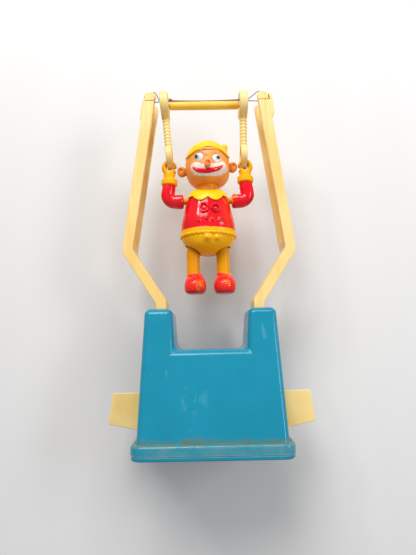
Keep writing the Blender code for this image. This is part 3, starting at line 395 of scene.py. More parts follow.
def ringFrame(here, along, sideways, reach, depth):
    # matrix that takes a unit circle to a ring across the path
    along = along.normalized()
    sideways = (sideways - along * sideways.dot(along)).normalized()
    other = along.cross(sideways)
    return Matrix((
        (sideways.x * reach, other.x * depth, along.x, here.x),
        (sideways.y * reach, other.y * depth, along.y, here.y),
        (sideways.z * reach, other.z * depth, along.z, here.z),
        (0.0, 0.0, 0.0, 1.0),
    ))


def growRings(bm, places, segments, caps=True):
    # a circle that is extruded from one ring's place to the next
    start = bmesh.ops.create_circle(bm, cap_ends=False, segments=segments, radius=1.0, matrix=places[0])
    ring = start["verts"]
    edges = list({edge for vert in ring for edge in vert.link_edges})
    if caps:
        bmesh.ops.edgeloop_fill(bm, edges=edges)
    rows = [list(ring)]
    for before, after in zip(places, places[1:]):
        grown = bmesh.ops.extrude_edge_only(bm, edges=edges)
        ring = onlyVerts(grown["geom"])
        inRing = set(ring)
        edges = [edge for vert in ring for edge in vert.link_edges if edge.other_vert(vert) in inRing]
        edges = list(set(edges))
        bmesh.ops.transform(bm, matrix=after @ before.inverted(), verts=ring)
        rows.append(list(ring))
    if caps:
        bmesh.ops.edgeloop_fill(bm, edges=edges)
    bmesh.ops.recalc_face_normals(bm, faces=bm.faces)
    return rows


def joinEnds(bm):
    # bridges the first and last of the open rings
    bmesh.ops.bridge_loops(bm, edges=[e for e in bm.edges if e.is_boundary])
    bmesh.ops.recalc_face_normals(bm, faces=bm.faces)


def tubeAlong(bm, path, radii, segments, sideways=Vector((0.0, 1.0, 0.0))):
    places = []
    for i, here in enumerate(path):
        along = path[min(i + 1, len(path) - 1)] - path[max(i - 1, 0)]
        places.append(ringFrame(here, along, sideways, radii[i], radii[i]))
    return growRings(bm, places, segments)


def stackRings(bm, centre, rows, segments):
    # level rings: (height, half width, half depth, shift in depth)
    up = Vector((0.0, 0.0, 1.0))
    across = Vector((1.0, 0.0, 0.0))
    places = []
    for row in rows:
        shift = row[3] if len(row) > 3 else 0.0
        here = Vector((centre[0], centre[1] + shift, row[0]))
        places.append(ringFrame(here, up, across, row[1], row[2]))
    return growRings(bm, places, segments)


def spun(bm, place, steps):
    # the section in bm spun about the local X axis, then put in place
    bmesh.ops.spin(
        bm, geom=list(bm.verts) + list(bm.edges), cent=(0.0, 0.0, 0.0), axis=(1.0, 0.0, 0.0),
        angle=2.0 * math.pi, steps=steps, use_merge=True, use_duplicate=False,
    )
    bmesh.ops.remove_doubles(bm, verts=bm.verts, dist=1e-7)
    bmesh.ops.recalc_face_normals(bm, faces=bm.faces)
    bmesh.ops.transform(bm, matrix=place, verts=bm.verts)
    return bm


def turned(profile, place, steps):
    # open profile of (along, out), spun
    bm = bmesh.new()
    verts = [bm.verts.new((along, 0.0, out)) for along, out in profile]
    for pair in zip(verts, verts[1:]):
        bm.edges.new(pair)
    return spun(bm, place, steps)


def roundTurn(profile, place, steps, rounding, segments=3):
    # closed ring section of (along, out) corners, rounded, then spun
    bm = bmesh.new()
    face = bm.faces.new([bm.verts.new((along, 0.0, out)) for along, out in profile])
    bmesh.ops.bevel(
        bm, geom=list(face.verts), offset=rounding, segments=segments, profile=0.5, affect="VERTICES",
        material=-1, clamp_overlap=True,
    )
    for old in list(bm.faces):
        bm.faces.remove(old)
    return spun(bm, place, steps)


def block(low, high, rounding=0.0, segments=2):
    bm = bmesh.new()
    bmesh.ops.create_cube(bm, size=1.0)
    low, high = Vector(low), Vector(high)
    bmesh.ops.scale(bm, vec=high - low, verts=bm.verts)
    bmesh.ops.translate(bm, vec=(high + low) / 2.0, verts=bm.verts)
    if rounding:
        bevelEdges(bm, list(bm.edges), rounding, segments)
    return bm


def bevelEdges(bm, edges, offset, segments):
    bmesh.ops.bevel(
        bm, geom=edges, offset=offset, segments=segments, profile=0.5, affect="EDGES", material=-1,
        clamp_overlap=True,
    )


def roundRims(bm, offset, segments):
    # rounds the edges that lie in the front and back faces
    rims = [e for e in bm.edges if abs(e.verts[0].co.y - e.verts[1].co.y) < 1e-6]
    bevelEdges(bm, rims, offset, segments)


def slabThrough(outline, yLow, yHigh, rounding=0.0, segments=2):
    # outline of (x, z) pushed from front to back, with rounded front and back rims
    bm = bmesh.new()
    front = bm.faces.new([bm.verts.new((x, yLow, z)) for x, z in outline])
    grown = bmesh.ops.extrude_face_region(bm, geom=[front])
    bmesh.ops.translate(bm, vec=(0.0, yHigh - yLow, 0.0), verts=onlyVerts(grown["geom"]))
    bmesh.ops.recalc_face_normals(bm, faces=bm.faces)
    if rounding:
        roundRims(bm, rounding, segments)
    return bm


def rod(start, end, radius, segments=24):
    start, end = Vector(start), Vector(end)
    turn = (end - start).to_track_quat("Z", "Y").to_matrix().to_4x4()
    bm = bmesh.new()
    bmesh.ops.create_cone(
        bm, cap_ends=True, segments=segments, radius1=radius, radius2=radius,
        depth=(end - start).length, matrix=Matrix.Translation((start + end) / 2.0) @ turn,
    )
    return bm


def egg(centre, radii, turn=None, across=32, down=20):
    bm = bmesh.new()
    bmesh.ops.create_uvsphere(bm, u_segments=across, v_segments=down, radius=1.0)
    bmesh.ops.scale(bm, vec=Vector(radii), verts=bm.verts)
    if turn:
        bmesh.ops.transform(bm, matrix=turn, verts=bm.verts)
    bmesh.ops.translate(bm, vec=Vector(centre), verts=bm.verts)
    return bm


def addTo(bm, other):
    mesh = meshOf(other)
    bm.from_mesh(mesh)
    bpy.data.meshes.remove(mesh)


def smoothRoute(knots, step):
    points = []
    for i in range(len(knots) - 1):
        p0, p1, p2 = knots[max(i - 1, 0)], knots[i], knots[i + 1]
        p3 = knots[min(i + 2, len(knots) - 1)]
        count = max(2, int((p2 - p1).length / step))
        for k in range(count):
            t = k / count
            bend = (p2 - p0) * t + (2.0 * p0 - 5.0 * p1 + 4.0 * p2 - p3) * t ** 2
            points.append(0.5 * (2.0 * p1 + bend + (3.0 * p1 - p0 - 3.0 * p2 + p3) * t ** 3))
    points.append(knots[-1])
    return points


# finishes

# the teal's edge lightening is made strong and wide so it also paints the edge highlights of the notch and
# horns
teal = {
    "base": (0.0065, 0.246, 0.374), "deep": (0.0055, 0.227, 0.348), "pale": (0.20, 0.52, 0.62),
    "grimeAndShade": (0.10, 0.13, 0.075), "rough": (0.11, 0.22), "specular": 0.31, "dirt": 0.55, "rubAndHighlight": 0.46,
    "edge": 0.0011, "reach": 0.004, "grainDepth": 0.03, "specks": 0.05, "cloud": 38.0,
}


def tealWear(tree, colour):
    # a dirt line above the foot's rim, a paler band along the seam below it, and dull scuffs in the middle of
    # the front
    height = objectAxis(tree)
    band = spread(tree, calc(tree, "ADD", height, waver(tree, 75.0, 5.0, 0.0060)), 0.0060, 0.0084, (1.0, 0.0))
    floor = spread(tree, height, 0.0046, 0.0060)
    patches = spread(tree, noise(tree, 210.0, 4.0), 0.30, 0.62, (0.35, 1.0))
    dirt = times(tree, times(tree, band, floor), patches)
    colour = mixColour(tree, times(tree, dirt, 0.75), colour, (0.125, 0.165, 0.080))
    above = spread(tree, height, 0.0012, 0.0017)
    seam = times(tree, above, spread(tree, height, 0.0019, 0.0024, (1.0, 0.0)))
    seam = times(tree, seam, spread(tree, noise(tree, 60.0, 4.0), 0.35, 0.65, (0.25, 0.65)))
    colour = mixColour(tree, seam, colour, (0.36, 0.56, 0.50))
    rim = times(tree, above, spread(tree, height, 0.0052, 0.0060, (1.0, 0.0)))
    rim = times(tree, rim, spread(tree, noise(tree, 120.0, 5.0, 0.6), 0.35, 0.65, (0.10, 0.45)))
    colour = mixColour(tree, rim, colour, (0.16, 0.32, 0.33))
    rubbed = noise(tree, 330.0, 5.0, 0.65, objectCoords(tree, stretch=(1.0, 1.0, 0.45)))
    smears = spread(tree, rubbed, 0.50, 0.66)
    patch = spotMask(tree, (-0.0075, -0.0195, 0.0215), 0.0050, 0.0045, 0.004, 180.0)
    smears = times(tree, smears, patch)
    return mixColour(tree, times(tree, smears, 0.24), colour, teal["pale"])


teal["extra"] = tealWear

cream = {
    "base": (0.915, 0.690, 0.290), "deep": (0.870, 0.600, 0.205), "pale": (0.97, 0.84, 0.54),
    "grimeAndShade": (0.42, 0.22, 0.05), "rough": (0.28, 0.44), "dirt": 0.75, "rubAndHighlight": 0.25, "reach": 0.005,
    "specks": 0.12, "cloud": 45.0, "grainDepth": 0.08, "specular": 0.32,
    "streaks": 0.55, "streak": (0.84, 0.53, 0.155), "streakZ": (0.045, 0.075),
}
golden = {
    "base": (0.900, 0.410, 0.006), "deep": (0.830, 0.335, 0.004), "pale": (0.98, 0.60, 0.06),
    "grimeAndShade": (0.36, 0.11, 0.006), "rough": (0.20, 0.34), "dirt": 0.6, "rubAndHighlight": 0.25, "reach": 0.003,
    "specks": 0.15, "cloud": 90.0, "grainDepth": 0.07, "specular": 0.16,
}
# copies of the one golden plastic: lighter for hands, cuffs and belly as painted light, darker for the legs
# as painted shade under the belly, with some dirt
handGold = dict(golden, base=(0.95, 0.475, 0.005), deep=(0.90, 0.395, 0.004))
legGold = dict(golden, base=(0.76, 0.320, 0.003), deep=(0.68, 0.260, 0.003), specular=0.12)
barGold = dict(golden, base=(0.96, 0.60, 0.090), deep=(0.91, 0.50, 0.060), pale=(0.97, 0.70, 0.20))
sunny = {
    "base": (0.945, 0.585, 0.004), "deep": (0.905, 0.490, 0.003), "pale": (1.0, 0.74, 0.06),
    "grimeAndShade": (0.46, 0.18, 0.006), "rough": (0.20, 0.36), "dirt": 0.5, "rubAndHighlight": 0.25, "reach": 0.003,
    "specks": 0.10, "cloud": 110.0, "grainDepth": 0.06, "specular": 0.20,
}
steel = {
    "base": (0.52, 0.52, 0.51), "deep": (0.40, 0.40, 0.39), "pale": (0.75, 0.75, 0.74),
    "grimeAndShade": (0.12, 0.075, 0.04), "rough": (0.22, 0.42), "dirt": 0.6, "rubAndHighlight": 0.3,
}
redGloss = {
    "base": (0.850, 0.002, 0.014), "deep": (0.700, 0.001, 0.012), "thin": (0.90, 0.06, 0.010),
    "under": (0.90, 0.41, 0.005), "underDeep": (0.83, 0.335, 0.004), "grimeAndShade": (0.20, 0.004, 0.006),
    "rough": (0.06, 0.16), "chips": 0.735, "specular": 0.46,
}

tealFinish = mouldedPlastic("tealPlastic", teal)
creamFinish = mouldedPlastic("creamPlastic", cream)
goldenFinish = mouldedPlastic("goldenPlastic", golden)
handFinish = mouldedPlastic("handPlastic", handGold)
legFinish = mouldedPlastic("legPlastic", legGold)
barFinish = mouldedPlastic("barPlastic", barGold)
sunnyFinish = mouldedPlastic("sunnyPlastic", sunny)
steelFinish = mouldedPlastic("brightWire", steel)
steelFinish.node_tree.nodes["Principled BSDF"].inputs["Metallic"].default_value = 1.0
print("finishes made")

# base: horned shell and closing plate

baseShape = {
    "footHalf": (0.0304, 0.0230),
    "topHalf": (0.0290, 0.0110),
    "footZ": 0.0018,
    "rimTopZ": 0.0060,
    "topZ": 0.0600,
    "notchFloorZ": 0.0420,
    "notchFloorHalf": 0.0155,
    "notchTopHalf": 0.0168,
    "wall": 0.0020,
    "fillet": 0.0026,
    "rimHalf": (0.03265, 0.0255),
    "rimCorner": 0.0050,
    "rimRound": 0.0014,
    "leverGapX": (0.0190, 0.0255),
    "gapHalfY": 0.0081,
    "windowZ": (0.0064, 0.0250),
    "windowReach": 0.0040,
    "rimLowRound": 0.00025,
    "springZ": 0.0170,
}
plateShape = {
    "half": (0.03245, 0.0253),
    "corner": 0.0048,
    "topZ": 0.00174,
    "topRound": 0.0002,
    "lowRound": 0.0006,
    "border": 0.0022,
    "panelStep": 0.0004,
    "postHalf": (0.0015, 0.0055),
    "postZ": (0.0010, 0.0224),
    "postRound": 0.0003,
    "spigotReach": 0.0045,
    "spigotRadius": 0.0020,
}


def shellHalf(z):
    t = (z - baseShape["rimTopZ"]) / (baseShape["topZ"] - baseShape["rimTopZ"])
    foot, top = baseShape["footHalf"], baseShape["topHalf"]
    return between(foot[0], top[0], t), between(foot[1], top[1], t)


def hornedBlock(zLow, inset, fillet):
    zHigh = baseShape["topZ"] - inset
    half = [
        (shellHalf(zLow)[0] - inset, zLow), (shellHalf(zHigh)[0] - inset, zHigh),
        (baseShape["notchTopHalf"] + inset, zHigh),
        (baseShape["notchFloorHalf"] + inset, baseShape["notchFloorZ"] - inset),
    ]
    outline = half + [(-x, z) for x, z in reversed(half)]
    bm = slabThrough(outline, -1.0, 1.0)
    for vert in bm.verts:
        vert.co.y *= shellHalf(vert.co.z)[1] - inset
    if fillet:
        # all edges but those round the open foot
        edges = [e for e in bm.edges if max(v.co.z for v in e.verts) > zLow + 0.0003]
        bevelEdges(bm, edges, fillet, 6)
    return bm


def footSlab(halfX, halfY, corner, zLow, zHigh, topRound, lowRound):
    bm = block((-halfX, -halfY, zLow), (halfX, halfY, zHigh))
    uprights = [e for e in bm.edges if abs(e.verts[0].co.z - e.verts[1].co.z) > 1e-5]
    bevelEdges(bm, uprights, corner, 10)
    for level, rounding in ((zHigh, topRound), (zLow, lowRound)):
        rim = [e for e in bm.edges if all(abs(v.co.z - level) < 1e-6 for v in e.verts)]
        bevelEdges(bm, rim, rounding, 4)
    return bm


def sideBlock(side, nearX, farX, halfY, span):
    # block on one side of the middle, as deep in front as behind
    xs = sorted((side * nearX, side * farX))
    return block((xs[0], -halfY, span[0]), (xs[1], halfY, span[1]))


def makeShell():
    shape = baseShape
    wall, footZ, topZ = shape["wall"], shape["footZ"], shape["topZ"]
    rounds = shape["rimRound"], shape["rimLowRound"]
    rim = footSlab(*shape["rimHalf"], shape["rimCorner"], footZ, shape["rimTopZ"], *rounds)
    steps = [("UNION", rim), ("DIFFERENCE", hornedBlock(footZ - wall, wall, 0.0))]
    wallX, reach = shellHalf(shape["springZ"])[0], shape["windowReach"]
    for side in sides.values():
        throat = sideBlock(side, *shape["leverGapX"], shape["gapHalfY"], (topZ - 2.0 * wall, topZ + wall))
        window = sideBlock(side, wallX - reach, wallX + reach, shape["gapHalfY"], shape["windowZ"])
        steps += [("DIFFERENCE", throat), ("DIFFERENCE", window)]
    bm = shapeFrom(hornedBlock(footZ, 0.0, shape["fillet"]), steps)
    softenNormals(addPiece("baseShell", bm, "base", [tealFinish], ["base_shell"], 30.0))


def makePlate():
    # closing plate with a sunk panel below, and the post that carries the springs
    shape = plateShape
    rounds = shape["topRound"], shape["lowRound"]
    plate = footSlab(*shape["half"], shape["corner"], 0.0, shape["topZ"], *rounds)
    below = max((f for f in plate.faces if f.normal.z < -0.9), key=lambda f: f.calc_area())
    bmesh.ops.inset_individual(plate, faces=[below], thickness=shape["border"], depth=0.0)
    bmesh.ops.inset_individual(plate, faces=[below], thickness=shape["panelStep"], depth=-shape["panelStep"])
    (halfX, halfY), (lowZ, highZ) = shape["postHalf"], shape["postZ"]
    post = block((-halfX, -halfY, lowZ), (halfX, halfY, highZ), shape["postRound"])
    reach, z = shape["spigotReach"], baseShape["springZ"]
    spigot = rod((-reach, 0.0, z), (reach, 0.0, z), shape["spigotRadius"])
    bm = shapeFrom(plate, [("UNION", post), ("UNION", spigot)])
    softenNormals(addPiece("basePlate", bm, "base", [tealFinish], ["base_plate"], 30.0))


makeShell()
makePlate()
print("base made")

# squeeze levers

leverShape = {
    "depthHalf": 0.0075,
    "width": 0.0046,
    "tip": (0.0271, 0.1648),
    "tipWidth": 0.0052,
    "elbow": (0.0373, 0.0868),
    "throat": (0.0219, 0.0630),
    "pivot": (0.0219, 0.0495),
    "buttonTop": (0.0425, 0.0240),
    "buttonFoot": (0.0442, 0.0110),
    "buttonRoot": (0.0224, 0.0064),
    "ribs": 8,
    "ribRise": 0.00055,
    "rimRound": 0.0007,
    "web": 0.0016,
    "flange": 0.0024,
    "channelFootZ": 0.0915,
    "earReach": 0.0018,
    "earWall": 0.0013,
    "earDepth": {"left": 0.0100, "right": 0.0050},
    "earDrop": 0.0138,
    "slotWidth": 0.0008,
    "slotDepth": 0.0050,
    "slotDrop": 0.0042,
    "tipRound": 0.0019,
    "groove": (0.1603, 0.1608, 0.0005),
    "backSlope": 0.0019,
    "slopeFade": 0.0070,
    "slopeFromX": 0.0240,
    "slopeOver": 0.0012,
    "elbowRound": 0.0012,
    "throatRound": 0.0010,
    "buttonRound": 0.0007,
    "ribRound": 0.00016,
    "channelRound": 0.0004,
    "earInset": 0.0006,
    "earRound": 0.0005,
    "cutOver": 0.0003,
    "lipGap": 0.0026,
    "lipThick": 0.0016,
    "lipHalfY": 0.0097,
    "lipZ": (0.0084, 0.0209),
    "pivotBoss": 0.0033,
    "pivotBore": 0.0014,
    "boreReach": 0.0200,
}


def armX(z):
    (tipX, tipZ), (elbowX, elbowZ) = leverShape["tip"], leverShape["elbow"]
    return elbowX + (tipX - elbowX) * (z - elbowZ) / (tipZ - elbowZ)


def offsetLine(path, distance):
    moved = []
    for i, here in enumerate(path):
        here = Vector(here)
        before = (here - Vector(path[i - 1])).normalized() if i else None
        after = (Vector(path[i + 1]) - here).normalized() if i + 1 < len(path) else None
        before = before or after
        after = after or before
        normal = Vector((-before.y, before.x))
        mitre = (normal + Vector((-after.y, after.x))).normalized()
        moved.append(here + mitre * (distance / mitre.dot(normal)))
    return moved


def armStrip(zLow, zHigh, inner, outer):
    low, high = armX(zLow), armX(zHigh)
    return [(low + inner, zLow), (low + outer, zLow), (high + outer, zHigh), (high + inner, zHigh)]


def roundUprights(bm, points, offset, segments, near=2e-5):
    # rounds the edges that run from front to back through the given (x, z) points
    for x, z in points:
        edges = []
        for edge in bm.edges:
            a, b = edge.verts[0].co, edge.verts[1].co
            through = abs(a.x - x) < near and abs(a.z - z) < near and abs(b.x - x) < near
            if through and abs(a.y - b.y) > 1e-4:
                edges.append(edge)
        bevelEdges(bm, edges, offset, segments)


def mirrored(points, side):
    return [(side * x, z) for x, z in points]


def leverBlank(side):
    # the bent bar and its ribbed button in one outline, rounded at its corners and rims
    shape = leverShape
    half, width, tipHalf = shape["depthHalf"], shape["width"], shape["tipWidth"] / 2.0
    rootX, rootZ = shape["buttonRoot"]
    topZ = shape["buttonTop"][1]
    tipX, tipZ = shape["tip"]
    root = (rootX + width / 2.0, topZ - width)
    path = [shape["tip"], shape["elbow"], shape["throat"], shape["pivot"], root]
    outer, inner = offsetLine(path, width / 2.0), offsetLine(path, -width / 2.0)
    slope = (outer[4].x - outer[3].x) / (outer[4].y - outer[3].y)
    shoulder = (outer[4].x + slope * (topZ - outer[4].y), topZ)
    ribs = []
    for i in range(2 * shape["ribs"] + 1):
        spot = Vector(shape["buttonTop"]).lerp(Vector(shape["buttonFoot"]), i / (2.0 * shape["ribs"]))
        ribs.append((spot.x + (shape["ribRise"] if i % 2 else 0.0), spot.y))
    tips = [(tipX + tipHalf, tipZ), (tipX - tipHalf, tipZ)]
    outline = [tips[0], *outer[1:4], shoulder, *ribs, (rootX, rootZ), (rootX, topZ), *inner[3:0:-1], tips[1]]
    bm = slabThrough(mirrored(outline, side), -half, half)
    rounds = [
        ([outer[1], inner[1]], shape["elbowRound"], 4),
        ([outer[2], inner[2], shoulder], shape["throatRound"], 4),
        ([ribs[0], ribs[-1], (rootX, rootZ)], shape["buttonRound"], 4),
        (tips, shape["tipRound"], 6),
        (ribs[1:-1], shape["ribRound"], 2),
    ]
    for points, rounding, segments in rounds:
        roundUprights(bm, mirrored(points, side), rounding, segments)
    roundRims(bm, shape["rimRound"], 3)
    for vert in bm.verts:
        # the button's top falls towards the back
        below = topZ - vert.co.z
        if abs(vert.co.x) > shape["slopeFromX"] and -shape["slopeOver"] < below < shape["slopeFade"]:
            share = (vert.co.y + half) / (2.0 * half) * min(1.0, 1.0 - below / shape["slopeFade"])
            vert.co.z -= shape["backSlope"] * share
    return bm


def makeLever(name, side):
    shape = leverShape
    half, width, tipHalf = shape["depthHalf"], shape["width"], shape["tipWidth"] / 2.0
    inset, over = shape["earInset"], shape["cutOver"]
    tipX, tipZ = shape["tip"]
    above = tipZ + width
    channel = armStrip(shape["channelFootZ"], above, -width, width / 2.0 - shape["web"])
    trough = slabThrough(mirrored(channel, side), shape["flange"] - half, half - shape["flange"])
    bevelEdges(trough, list(trough.edges), shape["channelRound"], 2)
    steps = [("DIFFERENCE", trough)]

    # a lobe beside the tip, with the string's slots and groove
    out = tipHalf + shape["earReach"]
    foot = tipZ - shape["earDrop"]
    knee = foot + 2.0 * shape["earReach"]
    back = tipHalf - shape["web"] / 2.0
    ear = [(armX(foot) + back, foot), (armX(foot) + tipHalf, foot), (armX(knee) + out, knee)]
    ear += [(armX(tipZ) + out, tipZ - inset), (armX(tipZ) + back, tipZ - inset)]
    earFace, earDepth = -side, shape["earDepth"][name]
    span = sorted((earFace * (half - inset), earFace * (half - earDepth)))
    steps.append(("UNION", slabThrough(mirrored(ear, side), *span, shape["earRound"], 3)))
    slotOut = out - shape["earWall"]
    for face in (-1.0, 1.0):
        edge, deep = (slotOut, earDepth) if face == earFace else (out + over, shape["slotDepth"])
        slot = armStrip(tipZ - shape["slotDrop"], above, slotOut - shape["slotWidth"], edge)
        span = sorted((face * (half + over), face * (half - deep - over)))
        steps.append(("DIFFERENCE", slabThrough(mirrored(slot, side), *span)))
    low, high, deep = shape["groove"]
    xs = sorted((side * (tipX - width), side * (tipX + tipHalf)))
    steps.append(("DIFFERENCE", block((xs[0], -half - deep, low), (xs[1], deep - half, high))))

    # the lip that holds the button in its window, and the pivot's boss and bore
    lipX = shellHalf(baseShape["springZ"])[0] - shape["lipGap"]
    steps.append(("UNION", sideBlock(side, lipX - shape["lipThick"], lipX, shape["lipHalfY"], shape["lipZ"])))
    pivotX, pivotZ = shape["pivot"]
    rounds = [("UNION", half, shape["pivotBoss"]), ("DIFFERENCE", shape["boreReach"], shape["pivotBore"])]
    for operation, reach, radius in rounds:
        ends = [(side * pivotX, y, pivotZ) for y in (-reach, reach)]
        steps.append((operation, rod(*ends, radius)))
    bm = shapeFrom(leverBlank(side), steps)
    node = "lever_" + name
    softenNormals(addPiece(node + "_arm", bm, node, [creamFinish], [node], 34.0))


for name, side in sides.items():
    makeLever(name, side)
print("levers made")

# return springs inside the base

springShape = {
    "radius": 0.0027,
    "wire": 0.00035,
    "curls": 7,
    "curlSteps": 28,
    "post": 0.0015,
    "button": 0.0224,
    "gap": 0.0003,
    "anchorX": 0.0018,
    "keep": 0.88,
}


def makeSpring(name, side):
    shape = springShape
    z, radius = baseShape["springZ"], shape["radius"]
    start = shape["post"] + shape["gap"] + shape["wire"]
    end = shape["button"] - shape["gap"] - shape["wire"]
    steps = shape["curls"] * shape["curlSteps"]
    path = []
    for i in range(steps + 1):
        t = i / steps
        angle = 2.0 * math.pi * shape["curls"] * t
        x = between(start, end, t)
        path.append(Vector((side * x, radius * math.cos(angle), z + radius * math.sin(angle))))
    bm = bmesh.new()
    tubeAlong(bm, path, [shape["wire"]] * len(path), 10, Vector((1.0, 0.0, 0.0)))
    spring = addPiece("spring_" + name, bm, "base", [steelFinish], ["return_spring_" + name])
    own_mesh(spring)


for name, side in sides.items():
    makeSpring(name, side)
print("springs made")

# trapeze: bar, hangers and string

trapezeShape = {
    "middleX": -0.0013,
    "middleY": -0.0030,
    "stringZ": 0.1629,
    "barZ": 0.1600,
    "barRadius": 0.0019,
    "tenonRadius": 0.0011,
    "spread": 0.0192,
    "eyeRadius": 0.00695,
    "eyeHalf": 0.0020,
    "ringDrop": 0.02695,
    "ringOuter": 0.0058,
    "ringInner": 0.0040,
    "ringHalf": 0.00150,
    "shaftHalf": (0.00165, 0.0018),
    "ribs": 10,
    "ribRise": 0.00015,
    "stringHole": 0.0010,
    "stringSpread": 0.00042,
    "stringRadius": 0.0003,
    "dishDepth": 0.00035,
    "dishLip": 0.0013,
    "dishSlope": 0.0003,
    "eyeRound": 0.0006,
    "shaftSink": 0.0018,
    "shaftLap": 0.0009,
    "ribRows": 6,
    "ringRound": 0.0006,
    "tenonRoom": 0.0002,
    "tenonRound": 0.0002,
    "boreReach": 0.0060,
    "eyeLean": 1.1,
    "barGap": 0.0003,
    "barRound": 0.0003,
    "barSwell": 0.00006,
    "barSteps": 12,
}
clownX = -0.0002
clownY = -0.0030
fistSpread = 0.0175


def trapezeX(side):
    return trapezeShape["middleX"] + side * trapezeShape["spread"]


def hangerPlace(side):
    # the hanger's own axes, its eye and the way it leans down to the fist
    shape = trapezeShape
    eye = Vector((trapezeX(side), shape["middleY"], shape["barZ"]))
    footZ = shape["barZ"] - shape["ringDrop"] - shape["ringOuter"]
    foot = Vector((clownX + side * fistSpread, shape["middleY"], footZ))
    down = (foot - eye).normalized()
    back = Vector((0.0, 1.0, 0.0))
    across = back.cross(down).normalized()
    place = Matrix((across, back, -down)).transposed().to_4x4()
    place.translation = eye
    return place, eye, down


def ringPlace(side):
    place, eye, down = hangerPlace(side)
    place.translation = eye + down * trapezeShape["ringDrop"]
    return place


def ringTurn(side, room=0.0):
    # the hanger's lower ring, or the same ring with some room round it
    shape = trapezeShape
    wide, inner, outer = shape["ringHalf"] + room, shape["ringInner"] - room, shape["ringOuter"] + room
    section = [(-wide, inner), (wide, inner), (wide, outer), (-wide, outer)]
    return roundTurn(section, ringPlace(side), 64, shape["ringRound"])


def makeHanger(name, side):
    shape = trapezeShape
    place, eye, down = hangerPlace(side)
    across = Vector(place.col[0][:3])
    half, radius, soft = shape["eyeHalf"], shape["eyeRadius"], shape["eyeRound"]
    dish, lip = half - shape["dishDepth"], radius - shape["dishLip"]
    profile = [(-dish, 0.0), (-dish, lip - shape["dishSlope"]), (-half, lip), (-half, radius - soft)]
    profile += [(-half + soft / 3.0, radius - soft / 3.0), (-half + soft, radius)]
    profile += [(-along, out) for along, out in reversed(profile)]
    bm = turned(profile, place, 64)

    start = radius - shape["shaftSink"]
    length = shape["ringDrop"] - shape["ringOuter"] + shape["shaftLap"] - start
    rows = shape["ribs"] * shape["ribRows"]
    halfX, halfY = shape["shaftHalf"]
    places = []
    for i in range(rows + 1):
        rise = shape["ribRise"] * math.cos(2.0 * math.pi * shape["ribs"] * i / rows)
        here = eye + down * (start + length * i / rows)
        places.append(ringFrame(here, down, across, halfX + rise, halfY + rise))
    shaft = bmesh.new()
    growRings(shaft, places, 20)
    steps = [("UNION", shaft), ("UNION", ringTurn(side))]
    barHole = shape["tenonRadius"] + shape["tenonRoom"]
    for z, hole in ((shape["barZ"], barHole), (shape["stringZ"], shape["stringHole"])):
        ends = [(eye.x + reach, shape["middleY"], z) for reach in (-shape["boreReach"], shape["boreReach"])]
        steps.append(("DIFFERENCE", rod(*ends, hole)))
    node = "hanger_" + name
    bm = shapeFrom(bm, steps)
    softenNormals(addPiece(node + "_loop", bm, "trapeze", [creamFinish], [node], 40.0))


def makeBar():
    # a bar with a slight swell between two slim tenons
    shape = trapezeShape
    left, right = trapezeX(-1.0), trapezeX(1.0)
    half, full, thin = shape["eyeHalf"], shape["barRadius"], shape["tenonRadius"]
    soft, fine = shape["barRound"], shape["tenonRound"]
    inset = half * shape["eyeLean"] + shape["barGap"]
    start, end = left + inset, right - inset
    profile = [(left - half, 0.0), (left - half, thin - fine), (left - half + fine, thin), (start, thin)]
    profile += [(start, full - soft), (start + soft, full)]
    for i in range(1, shape["barSteps"]):
        share = i / shape["barSteps"]
        profile.append((between(start, end, share), full + shape["barSwell"] * math.sin(math.pi * share)))
    profile += [(end - soft, full), (end, full - soft), (end, thin)]
    profile += [(right + half - fine, thin), (right + half, thin - fine), (right + half, 0.0)]
    bm = turned(profile, Matrix.Translation((0.0, shape["middleY"], shape["barZ"])), 40)
    addPiece("swingBar", bm, "trapeze", [barFinish], ["trapeze_bar"], 40.0)


for name, side in sides.items():
    makeHanger(name, side)
makeBar()
print("trapeze made")

threadLook = {"base": (0.42, 0.235, 0.095), "deep": (0.24, 0.115, 0.040), "pale": (0.60, 0.40, 0.20)}


def twistedThread(look):
    mat, tree, shader = startFinish("brownThread", look)
    shader.inputs["Sheen Weight"].default_value = 0.35
    shader.inputs["Sheen Roughness"].default_value = 0.5
    fuzz = noise(tree, 2600.0, 3.0)
    colour = mixColour(tree, spread(tree, fuzz, 0.35, 0.65), look["base"], look["deep"])
    colour = mixColour(tree, spread(tree, noise(tree, 500.0, 3.0), 0.55, 0.75), colour, look["pale"])
    rough = spread(tree, fuzz, 0.3, 0.7, (0.75, 0.95), False)
    finishSurface(tree, shader, colour, rough, [(fuzz, 0.4, 0.0001)])
    return mat


threadFinish = twistedThread(threadLook)
threadShape = {
    "ply": 0.00014,
    "lay": 0.00012,
    "pitch": 0.0012,
    "step": 0.00016,
    "frontInset": 0.0013,
    "backInset": 0.0032,
    "sag": 0.0005,
    "strandInset": 0.0004,
    "strandSteps": 8,
}
knotShape = {
    "fromEye": 0.0030,
    "out": 0.0004,
    "swing": (0.0006, 0.0004, 0.0004),
    "turns": 1.4,
    "steps": 24,
    "end": (0.0008, -0.0004, 0.0002),
    "tail": [(0.0, 0.0, 0.0), (-0.0003, -0.0005, 0.0002), (-0.0010, -0.0007, 0.0003)],
}


